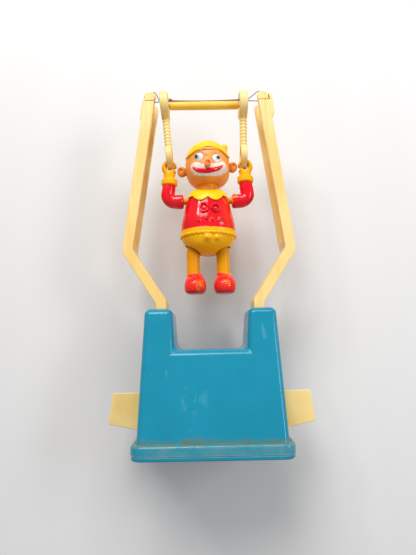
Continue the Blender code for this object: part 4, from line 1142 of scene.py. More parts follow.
def threadAlong(bm, route):
    # two plies wound round each other along the route
    shape = threadShape
    dense = smoothRoute(route, shape["step"])
    frames = []
    sideways = Vector((0.0, 0.0, 1.0))
    run = 0.0
    for i, here in enumerate(dense):
        along = (dense[min(i + 1, len(dense) - 1)] - dense[max(i - 1, 0)]).normalized()
        if abs(sideways.dot(along)) > 0.98:
            sideways = Vector((0.0, 1.0, 0.0))
        sideways = (sideways - along * sideways.dot(along)).normalized()
        if i:
            run += (here - dense[i - 1]).length
        frames.append((here, along, sideways.copy(), run))
    for phase in (0.0, math.pi):
        path = []
        for here, along, flat, done in frames:
            angle = 2.0 * math.pi * done / shape["pitch"] + phase
            path.append(here + (flat * math.cos(angle) + along.cross(flat) * math.sin(angle)) * shape["lay"])
        tubeAlong(bm, path, [shape["ply"]] * len(path), 6, Vector((0.013, 1.0, 0.021)))
    return run


def makeStrings():
    shape = trapezeShape
    lever = leverShape
    clear = shape["stringRadius"] + 0.00002
    mid = lever["tipWidth"] / 2.0
    half = lever["depthHalf"]
    tipX, tipZ = lever["tip"]
    frontY, backY = threadShape["frontInset"] - half, threadShape["backInset"] - half
    y, z = shape["middleY"], shape["stringZ"]
    slotMid = mid + lever["earReach"] - lever["earWall"] - lever["slotWidth"] / 2.0
    lowZ = tipZ - lever["slotDrop"] + 0.0006
    for name, side in sides.items():
        eye = abs(trapezeX(side))
        eyeOut = eye + shape["eyeHalf"] + 0.0006
        inner = tipX - mid
        slot = armX(tipZ - lever["slotDrop"] / 2.0) + slotMid
        knots = [
            (eye - 0.0006, y - shape["stringSpread"], z),
            (eyeOut, y - shape["stringSpread"], z + 0.0002),
            (inner + 0.0002, frontY, tipZ - 0.0001 + clear),
            (tipX - 0.0003, frontY, tipZ + clear),
            (tipX + 0.0003 + slotMid / 2.0, frontY, tipZ - 0.0002 + clear),
            (slot - 0.0003, frontY, tipZ - 0.0011),
            (slot, (frontY + backY) / 2.0, tipZ - 0.0024),
            (slot - 0.0003, backY, lowZ + 0.0003),
            (tipX, backY, lowZ),
            (inner - 0.0006, backY, lowZ + 0.0003),
            (eyeOut, y + shape["stringSpread"], z - 0.0002),
            (eye - 0.0006, y + shape["stringSpread"], z),
        ]
        route = [Vector((side * a, b, c)) for a, b, c in knots]
        bm = bmesh.new()
        run = threadAlong(bm, route)
        piece = addPiece("thread_" + name, bm, None, [threadFinish], ["string_" + name])
        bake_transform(piece)
        print("thread", name, "loop of", round(1000.0 * run, 1), "mm")
    left, right = trapezeX(-1.0), trapezeX(1.0)
    for name, face in (("front", -1.0), ("back", 1.0)):
        route = []
        inset, steps = threadShape["strandInset"], threadShape["strandSteps"]
        for i in range(steps + 1):
            sag = threadShape["sag"] * math.sin(math.pi * i / steps)
            x = left + inset + (right - left - 2.0 * inset) * i / steps
            route.append(Vector((x, y + face * shape["stringSpread"], z - sag)))
        bm = bmesh.new()
        threadAlong(bm, route)
        addPiece("thread_" + name, bm, "trapeze", [threadFinish], ["string_" + name])


def makeKnot():
    # overhand knot beside the left eye, with two short ends
    shape = knotShape
    at = (trapezeX(-1.0) + shape["fromEye"], trapezeShape["middleY"] - shape["out"], trapezeShape["stringZ"])
    centre = Vector(at)
    swingX, swingY, swingZ = shape["swing"]
    route = []
    for i in range(shape["steps"] + 1):
        t = 2.0 * math.pi * i / shape["steps"] * shape["turns"]
        swing = Vector((swingX * math.sin(2.0 * t), swingY * math.cos(3.0 * t), swingZ * math.sin(3.0 * t)))
        route.append(centre + swing)
    route.append(route[-1] + Vector(shape["end"]))
    bm = bmesh.new()
    threadAlong(bm, route)
    threadAlong(bm, [centre + Vector(step) for step in shape["tail"]])
    addPiece("threadKnot", bm, "trapeze", [threadFinish])


makeStrings()
makeKnot()
print("string made")

# clown's trunk, vest and collar

trunkShape = {
    "rows": [
        (85.0, 2.6, 2.7), (85.15, 4.6, 4.6), (86.9, 8.3, 7.9), (88.9, 10.8, 9.7), (92.3, 12.6, 10.5),
        (94.4, 12.85, 10.6), (95.85, 12.95, 10.65), (96.1, 12.65, 10.35), (99.1, 12.72, 10.35),
        (101.6, 12.15, 10.05), (107.4, 10.8, 8.9), (111.8, 9.75, 7.85), (113.0, 9.0, 7.3),
        (113.8, 7.4, 6.2), (114.2, 5.6, 5.0), (114.4, 4.2, 3.8),
    ],
    "vestZ": 0.0959,
    "legSpread": 0.0069,
    "hipZ": 0.0912,
    "footZ": 0.0850,
    "legRadius": 0.0031,
    "legShift": -0.0003,
    "legSwing": 22.0,
    "slotRoom": 0.0006,
    "slotSwingRoom": 0.0008,
    "slotBelow": 0.0016,
    "slotAbove": 0.0022,
    "slotTaper": 0.6,
    "paintEdge": 0.00025,
    "wornSpots": [
        ((0.0082, -0.0075, 0.1108), 0.0022),
        ((0.0011, -0.0136, 0.0995), 0.0011),
        ((0.0050, -0.0130, 0.0998), 0.0011),
    ],
}


def trunkHalf(z):
    # half width and half depth at a height
    rows = trunkShape["rows"]
    level = z / mm
    for low, high in zip(rows, rows[1:]):
        if level <= high[0]:
            t = max(0.0, (level - low[0]) / (high[0] - low[0]))
            return between(low[1], high[1], t) * mm, between(low[2], high[2], t) * mm
    return rows[-1][1] * mm, rows[-1][2] * mm


def vestBare(tree):
    # the yellow below the vest, with a brushed edge, and worn marks on two bosses and the right shoulder
    edge = trunkShape["vestZ"]
    height = calc(tree, "ADD", objectAxis(tree), waver(tree, 420.0, 3.0, 0.0005))
    low = spread(tree, height, edge, edge + trunkShape["paintEdge"], (1.0, 0.0))
    worn = spread(tree, noise(tree, 900.0, 5.0, 0.7), 0.54, 0.58)
    marks = [spotMask(tree, centre, radius, 0.6 * radius) for centre, radius in trunkShape["wornSpots"]]
    return most(tree, [low, times(tree, most(tree, marks), worn)])


def vestTint(tree, colour):
    # thinner, more orange paint down the right flank
    flank = spotMask(tree, (0.0105, -0.0085, 0.1020), 0.0045, 0.0040, 0.0015, 200.0, (1.0, 1.0, 0.55))
    return mixColour(tree, times(tree, flank, 0.75), colour, (0.90, 0.034, 0.006))


vestFinish = paintOver("vestPaint", dict(redGloss, bare=vestBare, tint=vestTint))


def legSlot(side):
    # room for the leg to swing, deepest at the foot
    shape = trunkShape
    swing = math.radians(shape["legSwing"])
    drop = shape["hipZ"] - shape["footZ"]
    wide = shape["legRadius"] + shape["slotRoom"]
    deep = (shape["legRadius"] + shape["slotSwingRoom"]) / math.cos(swing) + drop * math.tan(swing)
    end = shape["slotTaper"] * wide
    rows = [(shape["footZ"] - shape["slotBelow"], wide, deep), (shape["hipZ"], wide, wide)]
    rows.append((shape["hipZ"] + shape["slotAbove"], end, end))
    bm = bmesh.new()
    stackRings(bm, (clownX + side * shape["legSpread"] + shape["legShift"], clownY), rows, 32)
    return bm


def makeTrunk():
    bm = bmesh.new()
    rows = [(z * mm, wide * mm, deep * mm) for z, wide, deep in trunkShape["rows"]]
    stackRings(bm, (clownX, clownY), rows, 32)
    bm = shapeFrom(bm, [("DIFFERENCE", legSlot(side)) for side in sides.values()], 2)
    for face in bm.faces:
        face.material_index = 1 if face.calc_center_median().z < trunkShape["vestZ"] else 0
    mats = [vestFinish, handFinish]
    trunk = addPiece("trunk", bm, "figure", mats, ["body_front", "body_back"], 42.0)
    return surfaceOf(trunk)


def onFront(surface, x, z):
    # where a line from well in front meets the surface, and its normal
    return surface.ray_cast(Vector((x, -0.06, z)), Vector((0.0, 1.0, 0.0)))[:2]


trunkSurface = makeTrunk()

bandShape = {
    "z": 0.0941,
    "thick": 0.00056,
    "beads": 34,
    "beadSteps": 8,
    "half": (0.01272, 0.01046),
    "dip": 0.00060,
    "slim": 0.60,
    "tall": 1.5,
}


def makeBand():
    # soft scallops along the foot of the waistband
    shape = bandShape
    count = shape["beads"] * shape["beadSteps"]
    path, radii = [], []
    for i in range(count):
        angle = 2.0 * math.pi * i / count
        bead = abs(math.sin(shape["beads"] * angle / 2.0))
        x = clownX + shape["half"][0] * math.cos(angle)
        y = clownY + shape["half"][1] * math.sin(angle)
        path.append(Vector((x, y, shape["z"] - shape["dip"] * bead)))
        radii.append(shape["thick"] * (shape["slim"] + (1.0 - shape["slim"]) * bead))
    places = []
    for i, here in enumerate(path):
        along = path[(i + 1) % count] - path[i - 1]
        places.append(ringFrame(here, along, Vector((0.0, 0.0, 1.0)), shape["tall"] * radii[i], radii[i]))
    bm = bmesh.new()
    growRings(bm, places, 12, False)
    joinEnds(bm)
    addPiece("waistCord", bm, "figure", [handFinish])


def facing(spot, normal):
    # local X along the surface's normal
    place = normal.to_track_quat("X", "Z").to_matrix().to_4x4()
    place.translation = spot
    return place


studPlan = {
    "medals": [(-0.0021, 0.1052, 0.0024, 1.18), (0.0031, 0.1049, 0.0022, 1.0)],
    "bosses": [
        (-0.0044, 0.0990, 0.0010), (-0.0008, 0.0998, 0.0011),
        (0.0018, 0.0994, 0.0012), (0.0052, 0.0998, 0.0012),
    ],
    "buttons": [(-0.0006, 0.0912, 0.0022, 0.0012), (0.0036, 0.0911, 0.0018, 0.0010)],
    "rise": 0.00085,
    "bossSink": 0.0008,
    "medalSink": 0.0010,
    "medalRing": 0.20,
    "medalFace": [(-0.1, 0.58), (0.25, 0.46), (0.55, 0.24), (0.65, 0.0)],
}


def boss(radius, rise):
    # low dome with a soft foot, as (along, out)
    sink = studPlan["bossSink"]
    profile = [(-sink, 0.0), (-sink, radius)]
    for i in range(9):
        share = i / 8.0
        profile.append((rise * math.sin(math.pi / 2.0 * share) ** 1.6, radius * (1.0 - share)))
    return profile


def medal(radius, rise):
    # raised ring round a low dome
    sink, ring = studPlan["medalSink"], studPlan["medalRing"] * radius
    profile = [(-sink, 0.0), (-sink, radius)]
    for i in range(9):
        angle = math.pi * i / 8.0
        profile.append((rise * math.sin(angle), radius - ring + ring * math.cos(angle)))
    return profile + [(along * rise, out * radius) for along, out in studPlan["medalFace"]]


def makeStuds():
    bm = bmesh.new()
    for x, z, radius, tall in studPlan["medals"]:
        place = facing(*onFront(trunkSurface, x, z)) @ Matrix.Diagonal((1.0, 1.0, tall, 1.0))
        addTo(bm, turned(medal(radius, studPlan["rise"]), place, 40))
    for x, z, radius in studPlan["bosses"]:
        addTo(bm, turned(boss(radius, studPlan["rise"]), facing(*onFront(trunkSurface, x, z)), 32))
    addPiece("vestStuds", bm, "figure", [vestFinish])
    bm = bmesh.new()
    for x, z, radius, rise in studPlan["buttons"]:
        addTo(bm, turned(boss(radius, rise), facing(*onFront(trunkSurface, x, z)), 40))
    addPiece("bellyButtons", bm, "figure", [handFinish])


makeBand()
makeStuds()

collarShape = {
    "lobes": 8,
    "segments": 160,
    "edgeZ": 0.1134,
    "frontDrop": 0.0026,
    "lobeDrop": 0.0022,
    "crown": [(4.9, 115.2), (5.3, 115.7), (6.6, 115.5), (8.0, 114.9), (9.2, 114.1)],
    "sideLift": 1.3,
    "frontSink": 1.0,
    "drape": [(0.35, 0.62), (0.70, 0.58), (0.94, 0.62), (1.0, 0.50), (1.04, 0.26), (1.0, 0.02), (0.6, -1.0)],
    "inside": [(7.0, 112.6), (4.9, 113.4)],
    "flat": 0.18,
    "neck": 4.9,
    "liftReach": 6.0,
    "flatReach": 4.2,
    "tuck": 0.0006,
    "backLobes": 0.3,
}


def collarEdge(angle):
    # height of the scalloped edge: longer at the front, with a dip between two lobes in the middle
    shape = collarShape
    front = max(0.0, -math.sin(angle))
    wave = abs(math.sin(shape["lobes"] * (angle + math.pi / 2.0) / 2.0)) ** 0.8
    size = shape["backLobes"] + (1.0 - shape["backLobes"]) * front ** 1.5
    return shape["edgeZ"] - shape["frontDrop"] * front ** 2 - shape["lobeDrop"] * wave * size


def crownHeight(angle, reach, z):
    # the crown sinks in front and rises over the shoulders
    shape = collarShape
    front = max(0.0, -math.sin(angle))
    lift = shape["sideLift"] * math.cos(angle) ** 2 * (1.0 - (reach - shape["neck"]) / shape["liftReach"])
    return (z + lift - shape["frontSink"] * front ** 2) * mm


def collarPoint(angle, row):
    shape = collarShape
    kind, first, second = row
    if kind == "drape":
        wide, last = shape["crown"][-1][0] * mm, crownHeight(angle, *shape["crown"][-1])
        z = between(last, collarEdge(angle), first)
        halfX, halfY = trunkHalf(z)
        reachX = max(halfX, wide - shape["tuck"]) + second * mm
        reachY = max(halfY, wide * (1.0 - shape["flat"]) - shape["tuck"]) + second * mm
    else:
        z = crownHeight(angle, first, second) if kind == "crown" else second * mm
        reachX = first * mm
        reachY = reachX * (1.0 - shape["flat"] * (first - shape["neck"]) / shape["flatReach"])
    return Vector((clownX + reachX * math.cos(angle), clownY + reachY * math.sin(angle), z))


def makeCollar():
    shape = collarShape
    rows = [(kind, *pair) for kind in ("crown", "drape", "inside") for pair in shape[kind]]
    bm = bmesh.new()
    places = [Matrix.Translation((0.0, 0.0, float(k))) for k in range(len(rows))]
    for ring, row in zip(growRings(bm, places, shape["segments"], False), rows):
        for vert in ring:
            vert.co = collarPoint(math.atan2(vert.co.y, vert.co.x), row)
    joinEnds(bm)
    collar = addPiece("collar", bm, "figure", [sunnyFinish], (), 60.0)
    subdivide(collar, 1)


makeCollar()
print("trunk made")

# head, cap and face

headShape = {
    "centre": (clownX + 0.0002, clownY, 0.1289),
    "half": (0.0106, 0.0107, 0.0111),
    "tilt": -2.0,
    "jawPower": 3.0,
    "neckRadius": 0.0048,
    "neckRows": [(0.1130, 1.0), (0.1150, 1.0), (0.1176, 1.0), (0.1215, 1.02)],
    "eyes": [(-0.00386, 0.12894), (0.00402, 0.12840)],
    "pupils": [(-0.00525, 0.12925, 0.00078, 0.00102), (0.00500, 0.12868, 0.00080, 0.00098)],
    "eyeHalf": 0.00218,
    "eyeLine": (0.0025, 0.0026),
    "socketY": -0.0130,
    "socket": (0.0034, -0.0007),
}
# (middle, radius, rise) of each soft swelling
faceBumps = {
    "muzzle": ((0.0001, -0.0120, 0.1226), 0.0075, 0.0007),
    "leftCheek": ((-0.0065, -0.0103, 0.1252), 0.0034, 0.0006),
    "rightCheek": ((0.0067, -0.0103, 0.1252), 0.0034, 0.0006),
    "leftBrow": ((clownX - 0.0040, -0.0125, 0.1322), 0.0034, 0.0005),
    "rightBrow": ((clownX + 0.0040, -0.0125, 0.1322), 0.0034, 0.0005),
    "chin": ((clownX, -0.0120, 0.1182), 0.0040, 0.0006),
}
headCentre = Vector(headShape["centre"])
headTilt = Matrix.Rotation(math.radians(headShape["tilt"]), 4, "Y")

flesh = {
    "base": (0.930, 0.375, 0.080), "deep": (0.860, 0.295, 0.046), "under": (0.90, 0.45, 0.07),
    "grimeAndShade": (0.36, 0.09, 0.015), "worn": 0.70, "rough": (0.28, 0.44), "specular": 0.36,
}
# (middle, half size) of the ovals of white
muzzle = [
    ((0.0004, 0.1227), (0.0072, 0.0027)),
    ((-0.0054, 0.1244), (0.0027, 0.0024)),
    ((0.0062, 0.1248), (0.0031, 0.0025)),
]


def faceColours(tree, colour):
    # white round the mouth, a warmer chin and brown lines round the eyes
    chin = spread(tree, objectAxis(tree), 0.1168, 0.1215, (1.0, 0.0))
    colour = mixColour(tree, times(tree, chin, 0.90), colour, (0.90, 0.305, 0.004))
    front = spread(tree, objectAxis(tree, "Y"), -0.0078, -0.0058, (1.0, 0.0))
    masks = []
    for (x, z), (halfX, halfZ) in muzzle:
        masks.append(spotMask(tree, (x, 0.0, z), 1.0, 0.08, 0.25, 480.0, (1.0 / halfX, 0.0, 1.0 / halfZ)))
    white = times(tree, most(tree, masks), front)
    thin = spread(tree, noise(tree, 480.0, 5.0, 0.65), 0.36, 0.62, (1.0, 0.78))
    colour = mixColour(tree, times(tree, white, thin), colour, (0.93, 0.82, 0.71))
    halfX, halfZ = headShape["eyeLine"]
    rings = []
    for x, z in headShape["eyes"]:
        rings.append(spotMask(tree, (x, 0.0, z), 1.0, 0.06, 0.14, 700.0, (1.0 / halfX, 0.0, 1.0 / halfZ)))
    lines = times(tree, most(tree, rings), front)
    lines = times(tree, lines, spread(tree, noise(tree, 600.0, 4.0), 0.38, 0.64))
    colour = mixColour(tree, times(tree, lines, 0.70), colour, (0.40, 0.13, 0.035))
    smear = spotMask(tree, (-0.0006, 0.0, 0.1296), 1.0, 0.3, 0.6, 900.0, (1.0 / 0.0006, 0.0, 1.0 / 0.0008))
    smear = times(tree, times(tree, smear, front), 0.6)
    return mixColour(tree, smear, colour, (0.52, 0.05, 0.03))


flesh["extra"] = faceColours
fleshFinish = softPaint("fleshPaint", flesh)
earLook = dict(flesh, base=(0.84, 0.30, 0.050), deep=(0.76, 0.235, 0.032))
earLook.pop("extra")
plainFlesh = softPaint("earPaint", earLook)


def relax(bm, verts, factor):
    bmesh.ops.smooth_vert(bm, verts=verts, factor=factor, use_axis_x=True, use_axis_y=True, use_axis_z=True)


def swell(point, centre, radius, rise):
    distance = (point - Vector(centre)).length / radius
    if distance >= 1.0:
        return 0.0
    return rise * (1.0 - distance * distance) ** 2


def makeHead():
    shape = headShape
    bm = bmesh.new()
    bmesh.ops.create_uvsphere(bm, u_segments=96, v_segments=64, radius=1.0)
    power = shape["jawPower"]
    for vert in bm.verts:
        drop = min(max(-vert.co.z, 0.0), 0.999)
        full = (1.0 - drop ** power) ** (1.0 / power) / math.sqrt(1.0 - drop * drop)
        vert.co.x *= full
        vert.co.y *= full
    bmesh.ops.scale(bm, vec=Vector(shape["half"]), verts=bm.verts)
    bmesh.ops.transform(bm, matrix=Matrix.Translation(headCentre) @ headTilt, verts=bm.verts)
    bumps = list(faceBumps.values())
    bumps += [((x, shape["socketY"], z), *shape["socket"]) for x, z in shape["eyes"]]
    for vert in bm.verts:
        away = (vert.co - headCentre).normalized()
        vert.co += away * sum(swell(vert.co, *bump) for bump in bumps)
    neck = bmesh.new()
    r = shape["neckRadius"]
    stackRings(neck, (clownX, clownY), [(z, r * share, r * share) for z, share in shape["neckRows"]], 48)
    bm = shapeFrom(bm, [("UNION", neck)])
    head = addPiece("head_face", bm, "figure", [fleshFinish], ["head"], 45.0)
    return surfaceOf(head)


headSurface = makeHead()

capShape = {
    "half": (0.0110, 0.0113, 0.0117),
    "peak": 61.5,
    "peakTurn": 4.0,
    "arch": 17.5,
    "archReach": 68.0,
    "lift": 11.0,
    "nape": 14.0,
    "rim": [(0.00032, 0.00005), (0.00012, 0.00036), (-0.0004, 0.00022), (-0.0012, -0.0002)],
    "knot": (0.0079, -0.0036, 0.1366),
    "knotHalf": (0.0018, 0.0023, 0.0023),
    "knotTurn": 9.0,
    "knotPower": 3.2,
    "knotSmooth": 0.0040,
    "liftTurn": (60.0, 92.0),
    "napeTurn": (100.0, 180.0),
    "fold": 0.012,
    "folds": 5.0,
    "foldStart": 0.6,
}


def ease(value, low, high):
    t = min(max((value - low) / (high - low), 0.0), 1.0)
    return t * t * (3.0 - 2.0 * t)


def brimAngle(turn):
    # how far down from the top the brim lies, at so many degrees from the front
    shape = capShape
    arch = shape["arch"] * ease(abs(turn - shape["peakTurn"]), 0.0, shape["archReach"])
    side = shape["lift"] * ease(abs(turn), *shape["liftTurn"])
    return math.radians(shape["peak"] + arch - side + shape["nape"] * ease(abs(turn), *shape["napeTurn"]))


def boxyEgg(centre, radii, power, turn):
    bm = bmesh.new()
    bmesh.ops.create_uvsphere(bm, u_segments=40, v_segments=28, radius=1.0)
    for vert in bm.verts:
        vert.co /= sum(abs(c) ** power for c in vert.co) ** (1.0 / power)
    place = Matrix.Translation(Vector(centre)) @ turn @ Matrix.Diagonal((*radii, 1.0))
    bmesh.ops.transform(bm, matrix=place, verts=bm.verts)
    return bm


def makeCap():
    shape = capShape
    bm = bmesh.new()
    bmesh.ops.create_uvsphere(bm, u_segments=120, v_segments=64, radius=1.0)
    geom = list(bm.verts) + list(bm.edges) + list(bm.faces)
    bmesh.ops.bisect_plane(
        bm, geom=geom, dist=1e-7, plane_co=(0.0, 0.0, 0.0), plane_no=(0.0, 0.0, 1.0), clear_inner=True,
    )
    for vert in bm.verts:
        # the half sphere is drawn down to the arched brim, with soft folds that run up to the point
        down = math.acos(min(1.0, max(-1.0, vert.co.z)))
        angle = math.atan2(vert.co.x, -vert.co.y)
        share = down / (math.pi / 2.0)
        down = share * brimAngle(math.degrees(angle))
        wave = math.sin(shape["folds"] * angle + shape["foldStart"])
        fold = 1.0 + shape["fold"] * share * (1.0 - share) * wave
        flat = math.sin(down) * fold
        vert.co = (flat * math.sin(angle), -flat * math.cos(angle), math.cos(down) * fold)
    bmesh.ops.scale(bm, vec=Vector(shape["half"]), verts=bm.verts)
    rim = [e for e in bm.edges if e.is_boundary]
    for out, drop in shape["rim"]:
        grown = bmesh.ops.extrude_edge_only(bm, edges=rim)
        verts = onlyVerts(grown["geom"])
        inRim = set(verts)
        rim = list({e for v in verts for e in v.link_edges if e.other_vert(v) in inRim})
        for vert in verts:
            away = Vector((vert.co.x, vert.co.y, 0.0)).normalized()
            vert.co += away * out + Vector((0.0, 0.0, -drop))
    bmesh.ops.edgeloop_fill(bm, edges=rim)
    bmesh.ops.recalc_face_normals(bm, faces=bm.faces)
    bmesh.ops.transform(bm, matrix=Matrix.Translation(headCentre), verts=bm.verts)
    knot = Vector(shape["knot"])
    spin = Matrix.Rotation(math.radians(shape["knotTurn"]), 4, "Y")
    bm = shapeFrom(bm, [("UNION", boxyEgg(knot, shape["knotHalf"], shape["knotPower"], spin))])
    for _ in range(2):
        relax(bm, [v for v in bm.verts if (v.co - knot).length < shape["knotSmooth"]], 0.5)
    addPiece("cap", bm, "figure", [sunnyFinish], (), 50.0)


def onHead(x, z):
    return onFront(headSurface, x, z)


fringeShape = {
    "steps": 40,
    "half": 0.0061,
    "lowZ": 0.1320,
    "tilt": 0.0002,
    "tall": 0.0022,
    "endHalf": 0.00010,
    "thick": 0.00050,
    "endThick": 0.35,
    "lump": -0.0016,
    "lumpHalf": 0.0006,
    "lumpRise": 0.0004,
}


def makeFringe():
    # lens-shaped band of hair under the arch of the brim, with one small curl
    shape = fringeShape
    places = []
    for i in range(shape["steps"] + 1):
        t = -1.0 + 2.0 * i / shape["steps"]
        x = clownX + shape["half"] * t
        full = 1.0 - t * t
        half = 0.5 * shape["tall"] * full + shape["endHalf"]
        spot, normal = onHead(x, shape["lowZ"] + shape["tilt"] * t + half)
        lump = shape["lumpRise"] * math.exp(-((x - shape["lump"]) / shape["lumpHalf"]) ** 2)
        thick = (shape["thick"] + lump) * (shape["endThick"] + (1.0 - shape["endThick"]) * full)
        along = Vector((1.0, 0.0, 0.0)) - normal * normal.x
        upward = Vector((0.0, 0.0, 1.0)) - normal * normal.z
        places.append(ringFrame(spot, along, upward, half, thick))
    bm = bmesh.new()
    growRings(bm, places, 20)
    addPiece("fringe", bm, "figure", [plainFlesh])


eyeWhite = {
    "base": (0.88, 0.86, 0.82), "deep": (0.76, 0.76, 0.76), "under": (0.70, 0.52, 0.36),
    "grimeAndShade": (0.25, 0.14, 0.07), "worn": 0.72, "rough": (0.16, 0.30), "coat": 0.4,
}
pupilBlack = {
    "base": (0.012, 0.012, 0.014), "deep": (0.03, 0.03, 0.035), "under": (0.30, 0.28, 0.26),
    "grimeAndShade": (0.02, 0.02, 0.02), "worn": 0.70, "rough": (0.14, 0.26), "coat": 0.5,
}
irisGrey = dict(eyeWhite, base=(0.26, 0.30, 0.34), deep=(0.42, 0.45, 0.48), worn=0.60)
irisFinish = softPaint("irisPaint", irisGrey)
eyeFinish = softPaint("eyePaint", eyeWhite)
pupilFinish = softPaint("pupilPaint", pupilBlack)
lipRed = dict(redGloss, under=(0.86, 0.62, 0.45), underDeep=(0.8, 0.5, 0.3), chips=0.72)
lipFinish = paintOver("lipPaint", lipRed)

eyeShape = {
    "rise": 0.00075,
    "sink": 0.0009,
    "lift": 0.0001,
    "irisShift": 0.3,
    "irisScale": (1.35, 1.15),
    "irisRise": 0.00008,
    "pupilRise": 0.00016,
    "darkSink": 0.0004,
    "bed": 0.00004,
}


def dome(radius, rise, sink):
    profile = [(-sink, 0.0), (-sink, 0.92 * radius), (-0.3 * sink, radius)]
    for i in range(1, 9):
        angle = math.pi / 2.0 * i / 8.0
        profile.append((rise * math.sin(angle), radius * math.cos(angle) if i < 8 else 0.0))
    return profile


def darkSpot(surface, x, z, halfX, halfZ, rise):
    # low oval on the white of an eye
    mark, away = onFront(surface, x, z)
    place = facing(mark - away * eyeShape["bed"], away) @ Matrix.Diagonal((1.0, halfX, halfZ, 1.0))
    return turned(dome(1.0, rise, eyeShape["darkSink"]), place, 32)


def makeEyes():
    shape = eyeShape
    wide, tall = shape["irisScale"]
    whites, irises, pupils = bmesh.new(), bmesh.new(), bmesh.new()
    for (x, z), (darkX, darkZ, halfX, halfZ) in zip(headShape["eyes"], headShape["pupils"]):
        spot, normal = onHead(x, z)
        place = facing(spot + normal * shape["lift"], normal)
        white = turned(dome(headShape["eyeHalf"], shape["rise"], shape["sink"]), place, 48)
        surface = BVHTree.FromBMesh(white)
        addTo(whites, white)
        irisX = darkX + shape["irisShift"] * (x - darkX)
        addTo(irises, darkSpot(surface, irisX, darkZ, wide * halfX, tall * halfZ, shape["irisRise"]))
        addTo(pupils, darkSpot(surface, darkX, darkZ, halfX, halfZ, shape["pupilRise"]))
    addPiece("eyeWhites", whites, "figure", [eyeFinish])
    addPiece("irises", irises, "figure", [irisFinish])
    addPiece("pupils", pupils, "figure", [pupilFinish])


noseShape = {
    "at": (-0.0001, 0.1250),
    "half": (0.0015, 0.0016, 0.0019),
    "out": 0.0004,
    "ripple": 0.0002,
    "rippleScale": 1500.0,
    "dab": (0.0002, -0.0157, 0.1259),
    "dabRadius": 0.0012,
}


def noseColours(tree, colour):
    # red dab on the upper half
    tip = spotMask(tree, noseShape["dab"], noseShape["dabRadius"], 0.0003, 0.0006, 900.0)
    return mixColour(tree, tip, colour, (0.70, 0.012, 0.018))


noseFinish = softPaint("nosePaint", dict(flesh, extra=noseColours))


def makeNose():
    shape = noseShape
    x, z = shape["at"]
    spot, normal = onHead(x, z)
    bm = egg(spot + normal * shape["out"], shape["half"], None, 40, 28)
    for vert in bm.verts:
        vert.co.z += shape["ripple"] * math.sin(shape["rippleScale"] * (vert.co.x - x))
    addPiece("nose", bm, "figure", [noseFinish])


lipEdges = {
    "upper": [
        (-7.2, 124.85), (-5.6, 124.25), (-3.8, 123.6), (0.1, 123.3),
        (3.95, 124.1), (5.7, 124.85), (7.1, 125.5),
    ],
    "lower": [
        (-7.2, 124.7), (-5.6, 122.75), (-3.8, 121.6), (0.1, 120.95),
        (3.95, 122.1), (5.7, 123.4), (7.1, 125.3),
    ],
}
lipShape = {
    "steps": 48,
    "slopeStep": 0.0003,
    "leastHalf": 0.00008,
    "bed": 0.00005,
    "thick": 0.00012,
    "fullness": 0.42,
}


def lipHeight(name, x):
    knots = [Vector((a * mm, 0.0, b * mm)) for a, b in lipEdges[name]]
    route = smoothRoute(knots, 0.0002)
    after = next((i for i, point in enumerate(route) if point.x >= x), len(route) - 1)
    before = max(after - 1, 0)
    step = route[after].x - route[before].x
    t = (x - route[before].x) / step if step > 0.0 else 0.0
    return between(route[before].z, route[after].z, t)


def makeLips():
    # broad smile, full in the middle, with turned-up corners
    shape = lipShape
    left, right = lipEdges["upper"][0][0] * mm, lipEdges["upper"][-1][0] * mm
    step = shape["slopeStep"]
    places = []
    for i in range(shape["steps"] + 1):
        t = i / shape["steps"]
        x = between(left, right, t)
        high, low = lipHeight("upper", x), lipHeight("lower", x)
        half = max(0.5 * (high - low), shape["leastHalf"])
        spot, normal = onHead(x, 0.5 * (high + low))
        climb = lipHeight("upper", min(x + step, right)) - lipHeight("upper", max(x - step, left))
        along = Vector((1.0, 0.0, climb / (2.0 * step)))
        along = along - normal * normal.dot(along)
        upward = Vector((0.0, 0.0, 1.0)) - normal * normal.z
        thick = shape["thick"] + shape["fullness"] * half
        places.append(ringFrame(spot - normal * shape["bed"], along, upward, half, thick))
    bm = bmesh.new()
    growRings(bm, places, 24)
    addPiece("lips", bm, "figure", [lipFinish])


earShape = {
    "at": {"left": (-0.0124, -0.0024, 0.1261), "right": (0.0121, -0.0024, 0.1281)},
    "half": (0.0022, 0.0017, 0.0027),
    "lean": 12.0,
    "rootShift": (0.0017, -0.0004, 0.0),
    "rootHalf": (0.0018, 0.0014, 0.0019),
    "hollowShift": (0.0004, -0.0017, 0.0001),
    "hollowHalf": (0.0012, 0.0011, 0.0017),
    "beadShift": (-0.0005, 0.0009, -0.0005),
    "beadHalf": (0.0006, 0.0005, 0.0009),
}


def makeEars():
    shape = earShape
    for name, side in sides.items():
        flip = Matrix.Diagonal((side, 1.0, 1.0))
        lean = Matrix.Rotation(math.radians(side * shape["lean"]), 4, "Y")
        spot = Vector(shape["at"][name])
        bm = egg(spot, shape["half"], lean, 44, 30)
        root = egg(spot - flip @ Vector(shape["rootShift"]), shape["rootHalf"], lean, 28, 18)
        hollowSpot = spot + lean.to_3x3() @ (flip @ Vector(shape["hollowShift"]))
        hollow = egg(hollowSpot, shape["hollowHalf"], lean, 28, 18)
        bm = shapeFrom(bm, [("UNION", root), ("DIFFERENCE", hollow)])
        addTo(bm, egg(hollowSpot + flip @ Vector(shape["beadShift"]), shape["beadHalf"], lean, 16, 12))
        addPiece("ear_" + name, bm, "figure", [plainFlesh], (), 55.0)


makeCap()
makeFringe()
makeEyes()
makeNose()
makeLips()
makeEars()
print("head made")

# arms: sleeves, cuffs and hooked hands

